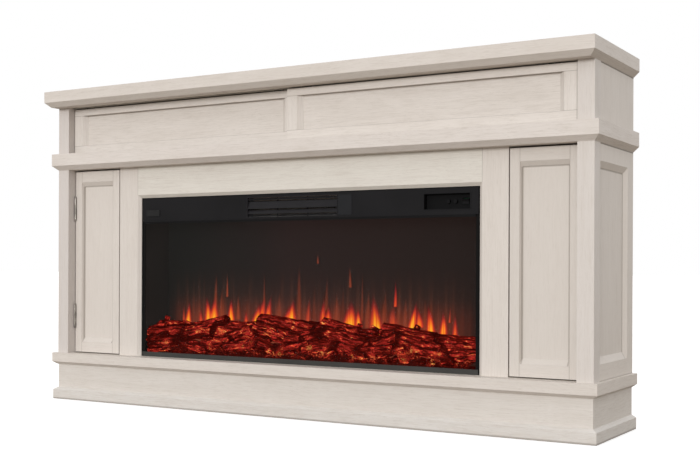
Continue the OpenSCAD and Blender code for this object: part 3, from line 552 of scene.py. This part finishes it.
def dress_hardware():
    back = hardboard()
    for n in ("upper_back_panel", "cabinet_back_panels"):
        dress(n, back)
    aluminium = metal("track_aluminium", grey(0.62), grey(0.5), 0.34, brushed=(0.05, 1, 1))
    for n in ("upper_door_track", "lower_door_track"):
        dress(n, aluminium)
    pewter = metal("aged_pewter", (0.36, 0.335, 0.30, 1), (0.17, 0.155, 0.14, 1), 0.36)
    for n in ("hinge_post_leaves", "left_door_hardware", "right_door_hardware"):
        dress(n, pewter)
    zinc = metal("zinc_steel", grey(0.58), grey(0.42), 0.36, spots=0.5)
    for n in ("shelf_pins", "mounting_brackets", "blower_housing", "blower_motor", "rotor_drive"):
        dress(n, zinc)
    dress("blower_wheel", metal("wheel_aluminium", grey(0.66), grey(0.55), 0.3))
    dress("flicker_rotor", metal("rotor_foil", grey(0.85), grey(0.78), 0.10))
    dress("door_catches", moulded("catch_plastic", (0.05, 0.05, 0.052, 1), 0.5))
    nylon = moulded("glide_nylon", (0.035, 0.034, 0.033, 1), 0.42, bump=0.05)
    for n in ("left_slider_glides", "right_slider_glides"):
        dress(n, nylon)
    dress("firebox_shell", shell_coat())
    dress("control_fascia", panel_coat())
    grille = moulded("grille_black", (0.0198, 0.0188, 0.0208, 1), 0.42, grain=2600, specular=0.10)
    dress("outlet_grille", grille)
    lens = moulded("lens_black", (0.010, 0.010, 0.012, 1), 0.16, bump=0.01, specular=0.2, coat=0.05)
    dress("receiver_lens", lens)
    dress("blank_badge", moulded("badge_grey", (0.0190, 0.0187, 0.0190, 1), 0.32, specular=0.14))
    dress("bottom_strip", moulded("strip_grey", (0.034, 0.033, 0.030, 1), 0.36, specular=0.5))
    dress("glass_front", front_glass())
    dress("flame_screen", smoky_screen())
    dress("heater_element", moulded("heater_ceramic", (0.50, 0.47, 0.43, 1), 0.6, grain=900))
    dress("circuit_boards", circuit_green())
    switches = moulded("switch_black", (0.0058, 0.0055, 0.006, 1), 0.42, specular=0.10)
    for n in ("main_switch", "flame_button", "heat_button", "cord_gland"):
        dress(n, switches)


def gap_shade_strip():
    """Soft black strip that closes the gap between the insert's front and the edge of the opening; it stands
    in for the shade in that gap, as painted shade.
    """
    # Middle line of the strip: up one side of the insert, over it, and down the other side
    half, top, low = 0.5550, 0.6200, 0.1337
    up_steps, across_steps = 12, 30
    # It starts a little behind the face of the controls
    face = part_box("control_fascia")[0].y
    front, back = face + 0.0022, face + 0.0085
    # Section as (distance out from the middle line, depth)
    section = [(-0.0014, front + 0.0012), (-0.0006, front), (0.0006, front), (0.0014, front + 0.0012),
               (0.0014, back - 0.001), (0.0006, back), (-0.0006, back), (-0.0014, back - 0.001)]
    # Places as (x, z), each with the direction that is outwards there
    rises = [low + (top - low) * i / up_steps for i in range(up_steps)]
    spans = [-half + 2 * half * i / across_steps for i in range(1, across_steps)]
    path = [(-half, z, -1, 0) for z in rises] + [(-half, top, -1, 0.7)] + [(x, top, 0, 0.7) for x in spans]
    path += [(half, top, 1, 0.7)] + [(half, z, 1, 0) for z in reversed(rises)]
    n = len(section)
    points = [(x + dx * out, depth, z + dz * out) for x, z, dx, dz in path for out, depth in section]
    faces = [(a * n + i, a * n + (i + 1) % n, (a + 1) * n + (i + 1) % n, (a + 1) * n + i)
             for a in range(len(path) - 1) for i in range(n)]
    faces += [tuple(range(n))[::-1], tuple((len(path) - 1) * n + i for i in range(n))]
    strip = new_object("insert_gap_shade", points, faces)

    t = Tree("gap_shade_foam")
    cells = t.add("TexVoronoi", inputs={"Vector": t.scaled(t.coord(), 900)})
    shade = t.mix(t.between(cells, 0.1, 0.6), (0.010, 0.010, 0.0105, 1), (0.006, 0.006, 0.0063, 1))
    t.surface(shade, roughness=0.9, normal=t.bump(cells, 0.4, 0.0003), specular=0.05)
    strip.data.materials.append(t.material)
    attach(strip, ROOT)


# ---- the fire ----


def new_object(name, points, faces, uvs=None, smooth=True):
    """uvs maps a layer's name to one pair per point."""
    mesh = bpy.data.meshes.new(name)
    mesh.from_pydata(points, [], faces)
    for layer, pairs in (uvs or {}).items():
        data = mesh.uv_layers.new(name=layer).data
        flat = np.array(pairs, np.float32)[[v for f in faces for v in f]].ravel()
        data.foreach_set("uv", flat)
    mesh.polygons.foreach_set("use_smooth", [smooth] * len(mesh.polygons))
    mesh.validate()
    return link(name, mesh)


# Logs of the fire: both ends of the axis in millimetres, and the radius
LOGS = [
    # on top of the pile, at the back
    ((-546, -22, 222), (-452, -16, 228), 23), ((-466, -14, 213), (-296, -12, 248), 24),
    ((-322, -16, 232), (-176, -12, 233), 24), ((-172, -14, 257), (16, -16, 232), 25),
    ((-30, -10, 236), (62, -8, 240), 22), ((42, -14, 251), (214, -20, 214), 23),
    ((236, -16, 243), (398, -18, 220), 23), ((386, -14, 221), (547, -16, 211), 22),
    # across the middle
    ((-548, -62, 210), (-432, -46, 216), 21), ((-470, -44, 206), (-326, -50, 230), 20),
    ((-350, -40, 226), (-236, -36, 214), 18), ((-264, -46, 202), (-146, -38, 234), 20),
    ((-168, -40, 237), (-8, -48, 205), 22), ((-44, -46, 203), (62, -38, 228), 20),
    ((38, -36, 233), (202, -48, 203), 22), ((178, -44, 197), (302, -52, 223), 19),
    ((258, -44, 226), (432, -54, 196), 22), ((418, -42, 208), (548, -50, 206), 21),
    # in front, half sunk in the embers
    ((-540, -66, 178), (-424, -62, 192), 16), ((-440, -64, 191), (-328, -68, 171), 15),
    ((-345, -66, 185), (-250, -62, 199), 15), ((-262, -66, 180), (-150, -68, 193), 15),
    ((-170, -64, 199), (-58, -68, 175), 15), ((-82, -66, 179), (30, -62, 197), 15),
    ((12, -68, 182), (122, -64, 197), 15), ((98, -64, 199), (212, -68, 175), 15),
    ((188, -66, 184), (292, -66, 193), 15), ((335, -80, 176), (317, -40, 186), 19),
    ((352, -66, 198), (474, -68, 177), 14), ((420, -81, 169), (410, -50, 178), 9),
    ((438, -66, 179), (548, -66, 192), 16),
    # at the ends, close behind the glass
    ((-546, -70, 196), (-478, -60, 212), 12), ((-547, -72, 176), (-486, -66, 188), 10),
    ((-547, -66, 222), (-500, -50, 232), 11), ((-546, -72, 160), (-470, -70, 168), 9),
    ((-548, -30, 226), (-530, -24, 244), 12), ((-549, -76, 190), (-520, -70, 214), 8),
    # knots that stand up from the pile
    ((-530, -18, 236), (-520, -14, 262), 8), ((-304, -12, 246), (-292, -12, 264), 9),
    ((48, -10, 246), (58, -12, 266), 10), ((150, -10, 236), (160, -8, 257), 8),
    ((330, -10, 240), (340, -10, 258), 9),
]

# Hollows between the logs where the light below shows: x and z in millimetres, radius and strength
LIGHT_LEAKS = [
    (-474, 186, 13, 0.9), (-310, 180, 14, 1.0), (-284, 224, 16, 0.8), (-188, 206, 12, 0.9),
    (-160, 200, 13, 1.0), (-232, 240, 10, 0.7), (-63, 168, 13, 1.1), (-53, 188, 12, 0.8),
    (38, 190, 15, 1.2), (93, 206, 14, 0.8), (173, 172, 14, 1.0), (198, 162, 10, 1.0),
    (155, 240, 11, 0.8), (-30, 243, 10, 0.6), (305, 190, 12, 0.9), (350, 196, 16, 1.1),
    (438, 190, 12, 0.9), (236, 190, 10, 0.7), (418, 170, 13, 1.2), (333, 172, 15, 0.9),
]


def bark(p, along, angle, radius, phase):
    """Height of the bark at a place on a log, as a share of the radius."""
    wave = Vector((along * 20 + phase, math.cos(angle) * radius * 150, math.sin(angle) * radius * 150))
    ridges = 1 - abs(noise.noise(wave)) * 3.2
    chunks = noise.fractal(Vector((along * 60 + phase, p.y * 80, p.z * 80)), 0.9, 2.1, 3)
    return ridges * 0.075 + chunks * 0.055


class Soup:
    """Points and faces of many closed shapes for one mesh."""

    def __init__(self):
        self.points, self.faces, self.uv, self.owner = [], [], [], []

    def tube(self, rings, uv, owner):
        """rings is a list of equal closed rings of points, with a single point at each end."""
        n = len(rings[1])
        starts = []
        for ring, pairs in zip(rings, uv):
            starts.append(len(self.points))
            self.points += ring
            self.uv += pairs
            self.owner += [owner] * len(ring)
        for a, b, ring_a, ring_b in zip(starts, starts[1:], rings, rings[1:]):
            for i in range(n):
                j = (i + 1) % n
                if len(ring_a) == 1:
                    self.faces.append((a, b + j, b + i))
                elif len(ring_b) == 1:
                    self.faces.append((a + i, a + j, b))
                else:
                    self.faces.append((a + i, a + j, b + j, b + i))


# Radii in millimetres above which a piece is a log, or a branch rather than a splinter
LOG_RADIUS, BRANCH_RADIUS = 12, 6.9
# A log of this radius is hollow if it starts in front of this y
HOLLOW_RADIUS, HOLLOW_FRONT = 9, -70
# Where the pile ends: to the sides, at its foot and at its front
PILE_END, PILE_FOOT, PILE_FRONT = 545, 150, -83
BRANCHES = 84
# Metres over which the painted shade in a gap between logs opens up to the light, and the y in front of which
# the painted leaks of light show
OPEN_GAP, LIGHT_LEAK_FRONT = 0.010, -0.02


def log(soup, k, a, b, r, rnd, hollow):
    """A closed rough cylinder from a to b, number k of the pile. A hollow one has dished ends."""
    start, end, radius = Vector(a) / 1000, Vector(b) / 1000, r / 1000
    axis = (end - start).normalized()
    length = (end - start).length
    side = axis.cross(Vector((0, 0.1, 1))).normalized()
    up = side.cross(axis)
    phase = 17.3 * k
    around_n = 64 if r > LOG_RADIUS else 28 if r > BRANCH_RADIUS else 16
    steps = max(6, int(length / (0.0034 if r > LOG_RADIUS else 0.006)))
    sag = rnd.uniform(-0.14, 0.14) * radius
    knot = rnd.uniform(0.2, 0.8)

    def centre(t):
        sway = side * (sag * math.sin(6 * t + k))
        return start + axis * (length * t) + up * (sag * math.sin(math.pi * t)) + sway

    def ring(t, shrink, dent=0.0):
        points, pairs = [], []
        c = centre(t) + axis * dent
        lumps = 0.05 * noise.noise(Vector((t * 4, phase, 0)))
        bulge = 1 + 0.10 * math.exp(-(((t - knot) / 0.09) ** 2)) + lumps
        for i in range(around_n):
            angle = 2 * math.pi * i / around_n
            out = side * math.cos(angle) + up * math.sin(angle)
            rough = radius * bulge * (0.90 + 0.07 * math.sin(2 * angle + phase))
            rough *= 1 + bark(c + out * rough, t * length, angle, radius, phase)
            points.append(tuple(c + out * (rough * shrink)))
            if shrink > 0.95:
                pairs.append((t * length + phase, angle * radius))
            else:
                pairs.append((phase + out.x * 0.01, out.z * shrink * radius))
        return points, pairs

    deep = -0.008 if hollow else 0.0
    ends = [(0.42, deep), (0.66, deep * 0.8), (0.93, 0.0)]
    made = [ring(0, s, -d) for s, d in ends] + [ring(0.004, 1.0)]
    made += [ring(i / steps, 1.0) for i in range(1, steps)]
    made += [ring(0.996, 1.0)] + [ring(1, s, d) for s, d in reversed(ends)]
    rings = [[tuple(centre(0) - axis * deep)]] + [m[0] for m in made] + [[tuple(centre(1) + axis * deep)]]
    uv = [[(phase, 0.0)]] + [m[1] for m in made] + [[(phase, 0.0)]]
    soup.tube(rings, uv, k)


def log_pile():
    """The listed logs, with broken branches and splinters strewn over the slope of the pile."""
    soup = Soup()
    rnd = random.Random(5)
    pieces = list(LOGS)
    for _ in range(BRANCHES):
        x, y = rnd.uniform(-528, 528), rnd.uniform(-74, -24)
        z = 172 + (y + 78) * 1.12 + rnd.uniform(-6, 8)
        half, tilt, turn = rnd.uniform(12, 46), rnd.uniform(-0.55, 0.55), rnd.uniform(-0.35, 0.35)
        dx, dy, dz = half * math.cos(tilt), half * 0.4 * math.sin(turn), half * math.sin(tilt) * 0.8
        r = rnd.uniform(4, 9)
        if abs(x) + half > PILE_END or z - abs(dz) - r < PILE_FOOT or y - abs(dy) - r < PILE_FRONT:
            continue
        pieces.append(((x - dx, y + dy, z - dz), (x + dx, y - dy, z + dz), r))
    for k, (a, b, r) in enumerate(pieces):
        hollow = k < len(LOGS) and r == HOLLOW_RADIUS and a[1] < HOLLOW_FRONT
        log(soup, k, a, b, r, rnd, hollow)

    logs = new_object("log_pile", soup.points, soup.faces,
                      {"bark": soup.uv, "fire": fire_on(np.array(soup.points), np.array(soup.owner), pieces)})
    logs.data.materials.append(glowing_bark())
    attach(logs, ROOT)
    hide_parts("log_set")


def fire_on(points, owner, pieces):
    """For each point of the logs, how clear it is of the other logs, for the painted shade in the hollows, and
    how strongly the painted light from below shows on it, both from 0 to 1.
    """
    # The bark stands a little inside the nominal radius in most places
    bark_share = 0.96
    gap = np.full(len(points), 1.0)
    for k, (a, b, r) in enumerate(pieces):
        start, end = np.array(a) / 1000, np.array(b) / 1000
        run = end - start
        t = np.clip(((points - start) @ run) / (run @ run), 0, 1)
        away = np.linalg.norm(points - start - t[:, None] * run, axis=1) - r / 1000 * bark_share
        gap = np.where(owner == k, gap, np.minimum(gap, away))
    open_to_light = np.clip(gap / OPEN_GAP, 0, 1)
    # How strongly the painted light from below shows at each point, in front only
    heat = np.zeros(len(points))
    for x, z, r, strength in LIGHT_LEAKS:
        away_squared = (points[:, 0] - x / 1000) ** 2 + (points[:, 2] - z / 1000) ** 2
        heat += strength * np.exp(-away_squared / (r / 1000) ** 2)
    in_front = points[:, 1] < LIGHT_LEAK_FRONT
    return np.column_stack([open_to_light, np.clip(heat * in_front, 0, 1)])


def glowing_bark():
    """Charred bark that glows along its grain, dimmed by painted shade in the hollows, with cracks of painted
    light where the light below leaks out.
    """
    t = Tree("glowing_bark")
    place = t.coord()
    bark_uv = t.add("UVMap", uv_map="bark")
    # hot is how strongly the painted light from below shows
    light, hot, _ = t.split(t.add("UVMap", uv_map="fire"))
    _, _, facing = t.split(t.add("NewGeometry", out=1))
    wander = t.noise(t.scaled(place, 40), detail=2)
    shift = t.vector(0.0, t.product(wander, 1.7), 0.0)
    ridges = t.noise(t.sum(t.scaled(bark_uv, (24, 150, 1)), shift), detail=3, roughness=0.55)
    seams = t.noise(t.sum(t.scaled(bark_uv, (15, 84, 1)), shift), detail=3, roughness=0.55)
    patches = t.noise(t.scaled(place, (30, 36, 44)), detail=2, roughness=0.5)
    fine = t.noise(t.scaled(place, 240), detail=3, roughness=0.7)
    # Cracks are cut across the pile as it is seen from the front, so that each is a thin line
    x, _, z = t.split(place)
    plan = t.vector(t.math("ADD", t.product(x, 46.0), t.product(wander, 2.2)),
                    t.math("ADD", t.product(z, 66.0), t.product(wander, 1.4)), 0.0)
    cells = t.add("TexVoronoi", inputs={"Vector": plan}, feature="DISTANCE_TO_EDGE", voronoi_dimensions="2D")
    body = t.between(ridges, 0.42, 0.56)
    seam = t.between(t.apart(seams, 0.5), 0.006, 0.032, 1.0, 0.0)
    patch = t.between(patches, 0.40, 0.60)
    crack = t.between(cells, 0.02, 0.11, 1.0, 0.0)
    glow = t.math("ADD", 0.06, t.product(body, t.between(patch, 0.0, 1.0, 0.30, 0.40)))
    glow = t.math("ADD", glow, t.product(seam, t.between(patch, 0.0, 1.0, 0.12, 0.52)))
    # Painted shade dims the glow where logs lie close to each other, and up-facing bark glows less
    glow = t.product(glow, t.between(fine, 0.30, 0.60, 0.62, 1.18), t.between(light, 0.0, 0.5, 0.18, 1.0),
                     t.between(facing, 0.60, 1.0, 1.0, 0.42), t.between(hot, 0.0, 1.0, 1.0, 0.55))
    leak = t.product(hot, t.between(t.math("MAXIMUM", crack, t.product(seam, 0.50)), 0.25, 1.0))
    glow = t.math("ADD", glow, t.product(leak, 0.86))
    colour = t.ramp(glow, [
        (0.0, (0.008, 0.0002, 0.0001, 1)), (0.10, (0.040, 0.0010, 0.0003, 1)),
        (0.26, (0.125, 0.0060, 0.0030, 1)), (0.42, (0.30, 0.0170, 0.0125, 1)),
        (0.60, (0.68, 0.034, 0.026, 1)), (0.80, (1.0, 0.075, 0.032, 1)),
        (0.92, (1.0, 0.24, 0.06, 1)), (1.0, (1.0, 0.58, 0.13, 1)),
    ])
    char = t.mix(t.between(fine, 0.3, 0.7), (0.016, 0.0016, 0.0010, 1), (0.030, 0.0026, 0.0016, 1))
    height = t.math("ADD", t.product(ridges, 0.8), t.product(seams, 0.5))
    t.surface(char, roughness=0.66, normal=t.bump(height, 0.9, 0.003), specular=0.02,
              emission=colour, emission_strength=1.0)
    t.material.cycles.emission_sampling = "NONE"
    return t.material


def lumpy_bed(soup, low, high):
    """A lumpy sheet over a flat one, joined round the rim, between two corners of the bed's box."""
    nx, ny = 260, 24
    rim_height, bed_depth, lump_height = 0.006, 0.013, 0.007
    for j in range(ny + 1):
        for i in range(nx + 1):
            x = low.x + (high.x - low.x) * i / nx
            y = low.y + (high.y - low.y) * j / ny
            lumps = noise.fractal(Vector((x * 34, y * 34, 3.3)), 0.8, 2.0, 4)
            edge = min(1.0, 6 * i / nx, 6 * (1 - i / nx))
            front = min(1.0, j / 3)
            z = low.z + rim_height + (bed_depth + lump_height * lumps) * edge * front
            soup.points.append((x, y, z))
    # The flat sheet repeats the points of the lumpy one, just above the foot of the box
    flat = len(soup.points)
    soup.points += [(x, y, low.z + 0.0005) for x, y, _ in soup.points]
    row = nx + 1
    for j in range(ny):
        for i in range(nx):
            a = j * row + i
            soup.faces.append((a, a + 1, a + 1 + row, a + row))
            soup.faces.append((flat + a, flat + a + row, flat + a + 1 + row, flat + a + 1))
    rim = list(range(row)) + [j * row + nx for j in range(1, ny + 1)]
    rim += [ny * row + i for i in range(nx - 1, -1, -1)] + [j * row for j in range(ny - 1, 0, -1)]
    for a, b in zip(rim, rim[1:] + rim[:1]):
        soup.faces.append((b, a, flat + a, flat + b))
    soup.uv = [(p[0], p[1]) for p in soup.points]


# Loose coals on the bed
COALS = 330


def ember_coals():
    """A rough bed of embers and loose coals that fills the tray."""
    low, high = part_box("ember_bed")
    soup = Soup()
    lumpy_bed(soup, low, high)
    rnd = random.Random(11)
    for _ in range(COALS):
        x = rnd.uniform(low.x + 0.014, high.x - 0.014)
        y = low.y + 0.012 + rnd.random() ** 1.8 * 0.045
        z = low.z + 0.014 + rnd.random() * 0.018
        coal(soup, Vector((x, y, z)), rnd.uniform(0.0045, 0.0105), rnd)
    embers = new_object("ember_coals", soup.points, soup.faces, {"bark": soup.uv}, smooth=False)
    embers.data.materials.append(glowing_coal())
    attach(embers, ROOT)
    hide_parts("ember_bed")


def coal(soup, centre, size, rnd):
    """A closed lump, stretched and turned at random."""
    turn = Matrix.Rotation(rnd.uniform(0, 6.3), 3, Vector((rnd.random() + 0.1, rnd.random(), rnd.random())))
    stretch = Vector((rnd.uniform(1.0, 1.7), rnd.uniform(0.8, 1.1), rnd.uniform(0.6, 0.9)))
    seed = rnd.uniform(0, 100)
    rows, around_n = 7, 10
    rings = []
    for i in range(rows + 1):
        polar = math.pi * i / rows
        ring = []
        for j in range(1 if i in (0, rows) else around_n):
            a = 2 * math.pi * j / around_n
            d = Vector((math.sin(polar) * math.cos(a), math.sin(polar) * math.sin(a), math.cos(polar)))
            bumpy = 1 + 0.34 * noise.noise(d * 1.7 + Vector((seed, 0, 0)))
            p = turn @ Vector((d.x * stretch.x, d.y * stretch.y, d.z * stretch.z)) * (size * bumpy)
            ring.append(tuple(centre + p))
        rings.append(ring)
    uv = [[(p[0], p[1]) for p in ring] for ring in rings]
    soup.tube([r[::-1] for r in rings], uv, 0)


def glowing_coal():
    """Dark ash with red seams, which glows less towards the foot of the bed."""
    t = Tree("glowing_coal")
    place = t.coord()
    heat = t.noise(t.scaled(place, (34, 38, 45)), detail=3, roughness=0.6)
    fine = t.noise(t.scaled(place, 420), detail=4, roughness=0.7)
    seams = t.noise(t.scaled(place, (60, 90, 150)), detail=4, roughness=0.65)
    seam = t.between(t.apart(seams, 0.5), 0.004, 0.055, 1.0, 0.0)
    _, _, z = t.split(place)
    glow = t.product(t.between(seam, 0.0, 1.0, 0.22, 1.0), t.between(heat, 0.42, 0.70, 0.18, 1.10),
                     t.between(fine, 0.28, 0.62, 0.6, 1.15), t.between(z, 0.147, 0.172, 0.08, 1.0))
    colour = t.ramp(glow, [
        (0.0, (0.010, 0.0004, 0.0002, 1)), (0.2, (0.070, 0.0026, 0.0010, 1)), (0.45, (0.24, 0.013, 0.008, 1)),
        (0.75, (0.74, 0.09, 0.04, 1)), (1.0, (1.0, 0.36, 0.09, 1)),
    ])
    char = t.mix(fine, (0.014, 0.0022, 0.0016, 1), (0.028, 0.0040, 0.0026, 1))
    t.surface(char, roughness=0.7, normal=t.bump(fine, 0.7, 0.0012), specular=0.03, emission=colour,
              emission_strength=1.0)
    t.material.cycles.emission_sampling = "NONE"
    return t.material


# Flames: foot x and z, tip x and z, width at the foot, all in millimetres, and heat (1 is hot)
FLAMES = [
    (-466, 226, -459, 316, 27, 1.00), (-484, 246, -484, 302, 12, 0.42), (-416, 240, -418, 292, 20, 0.46),
    (-386, 246, -396, 330, 32, 0.84), (-366, 246, -360, 334, 34, 0.88), (-362, 290, -358, 398, 18, 0.28),
    (-318, 322, -319, 404, 9, 0.36), (-301, 252, -299, 326, 24, 0.80), (-247, 242, -247, 290, 18, 0.50),
    (-208, 240, -197, 314, 42, 0.96), (-190, 256, -176, 334, 28, 0.66), (-184, 262, -183, 402, 13, 0.27),
    (-168, 256, -154, 338, 24, 0.62), (-98, 246, -94, 306, 32, 0.88), (-84, 246, -74, 330, 36, 0.98),
    (-60, 256, -60, 426, 26, 0.26), (-30, 246, -22, 334, 24, 0.42), (22, 250, 30, 334, 26, 0.52),
    (38, 254, 42, 310, 26, 0.72), (32, 266, 36, 394, 18, 0.26), (112, 242, 116, 328, 48, 0.88),
    (140, 250, 138, 304, 20, 0.78), (150, 262, 151, 404, 12, 0.27), (112, 356, 109, 422, 10, 0.33),
    (200, 222, 187, 348, 44, 1.05), (256, 304, 256, 388, 11, 0.52), (250, 254, 253, 314, 38, 0.42),
    (308, 246, 324, 330, 24, 0.86), (330, 250, 322, 312, 26, 0.60), (366, 232, 356, 322, 28, 0.78),
    (402, 234, 401, 304, 24, 0.76), (420, 266, 423, 314, 8, 0.42), (437, 222, 436, 300, 20, 0.52),
    (4, 424, 4, 454, 7, 0.34), (-340, 256, -336, 356, 24, 0.30), (-276, 256, -278, 334, 20, 0.30),
    (-130, 256, -128, 344, 24, 0.28), (64, 256, 66, 344, 30, 0.28), (170, 244, 172, 354, 26, 0.28),
    (222, 244, 226, 354, 26, 0.27), (286, 246, 288, 334, 28, 0.28), (346, 238, 346, 334, 24, 0.27),
]


# Fainter tongues, evenly placed between the others
FAINT_TONGUES = 20


def tongue(x0, z0, x1, z1, width, sway, depth):
    """Rings of a flame that narrows to its tip, and how far across it and up it each point is, from 0 to 1."""
    levels, around_n, half_thickness = 22, 12, 0.0006
    rings, uv = [], []
    for i in range(levels + 1):
        v = i / levels
        x = x0 + (x1 - x0) * v ** 1.4 + sway * math.sin(math.pi * v)
        z = z0 + (z1 - z0) * v
        half = 0.82 * width * (0.08 + 0.92 * (1 - v) ** 1.3 * (1 + 0.9 * v)) + 0.2
        ends = i in (0, levels)
        ring, pairs = [], []
        for j in range(1 if ends else around_n):
            a = 2 * math.pi * j / around_n
            across = 0.0 if ends else math.cos(a)
            thick = 0.0 if ends else math.sin(a)
            ring.append(((x + across * half) / 1000, depth + thick * half_thickness, z / 1000))
            pairs.append((across * 0.5 + 0.5, v))
        rings.append(ring)
        uv.append(pairs)
    return rings, uv


def flame_tongues():
    """Thin closed tongues that stand just in front of the screen, as the projected flames seem to."""
    screen_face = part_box("flame_screen")[0].y
    soup = Soup()
    rnd = random.Random(23)
    tongues = list(FLAMES)
    for i in range(FAINT_TONGUES):
        x = -470 + 46 * i + rnd.uniform(-9, 9)
        foot = 244 + rnd.uniform(-4, 8) - max(0.0, x - 330) * 0.16
        tongues.append((x, foot, x + rnd.uniform(-7, 7), foot + rnd.uniform(36, 120), rnd.uniform(12, 20),
                        rnd.uniform(0.10, 0.18)))
    for k, (x0, z0, x1, z1, width, heat) in enumerate(tongues):
        # Hotter tongues stand further forward, and neighbours never share a plane
        depth = screen_face - 0.0010 - 0.0045 * min(1.0, heat) - 0.00003 * (k % 7)
        sway = rnd.uniform(-0.10, 0.10) * width
        rings, uv = tongue(x0, z0, x1, z1, width, sway, depth)
        soup.tube(rings, uv, (heat, k / len(tongues)))
    flames = new_object("flame_tongues", soup.points, soup.faces, {"tongue": soup.uv, "heat": soup.owner})
    flames.data.materials.append(flame_light())
    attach(flames, ROOT)


def flame_light():
    """Clear at the edges and tips of a tongue, and yellow at the heart of a hot one."""
    t = Tree("flame_light")
    across, up, _ = t.split(t.add("UVMap", uv_map="tongue"))
    heat, which, _ = t.split(t.add("UVMap", uv_map="heat"))
    off = t.apart(t.product(across, 2.0), 1.0)
    # Faint tongues have softer sides and fade more evenly towards their tips
    core = t.math("POWER", t.between(off, 0.0, 1.0, 1.0, 0.0), t.between(heat, 0.30, 0.60, 2.3, 1.35))
    fade = t.math("POWER", t.between(up, 0.06, 1.0, 1.0, 0.0), t.between(heat, 0.20, 0.60, 0.60, 1.15))
    rise = t.product(fade, t.between(up, 0.0, 0.05))
    x, _, z = t.split(t.coord())
    streak = t.noise(t.vector(t.product(x, 300.0), which, t.product(z, 12.0)), detail=2)
    body = t.product(core, rise, t.between(streak, 0.25, 0.65, 0.60, 1.0))
    warmth = t.product(body, heat)
    colour = t.ramp(warmth, [
        (0.0, (0.32, 0.010, 0.026, 1)), (0.14, (0.52, 0.024, 0.026, 1)), (0.32, (0.90, 0.070, 0.024, 1)),
        (0.52, (1.0, 0.20, 0.018, 1)), (0.74, (1.0, 0.40, 0.025, 1)), (0.97, (1.0, 0.68, 0.060, 1)),
    ])
    colour = t.mix(t.between(heat, 0.36, 0.46), (0.60, 0.098, 0.040, 1), colour)
    alpha = t.math("MULTIPLY", body, t.between(heat, 0.14, 0.8, 0.06, 1.0), clamp=True)
    t.surface((0.0, 0.0, 0.0, 1), roughness=1.0, specular=0.0, alpha=alpha,
              emission=colour, emission_strength=1.2)
    t.material.cycles.emission_sampling = "NONE"
    return t.material


camera()
studio()
dress_mouldings()
dress_side("left", seed=10)
dress_side("right", seed=19)
dress_middle()
dress_hardware()
gap_shade_strip()
log_pile()
ember_coals()
flame_tongues()
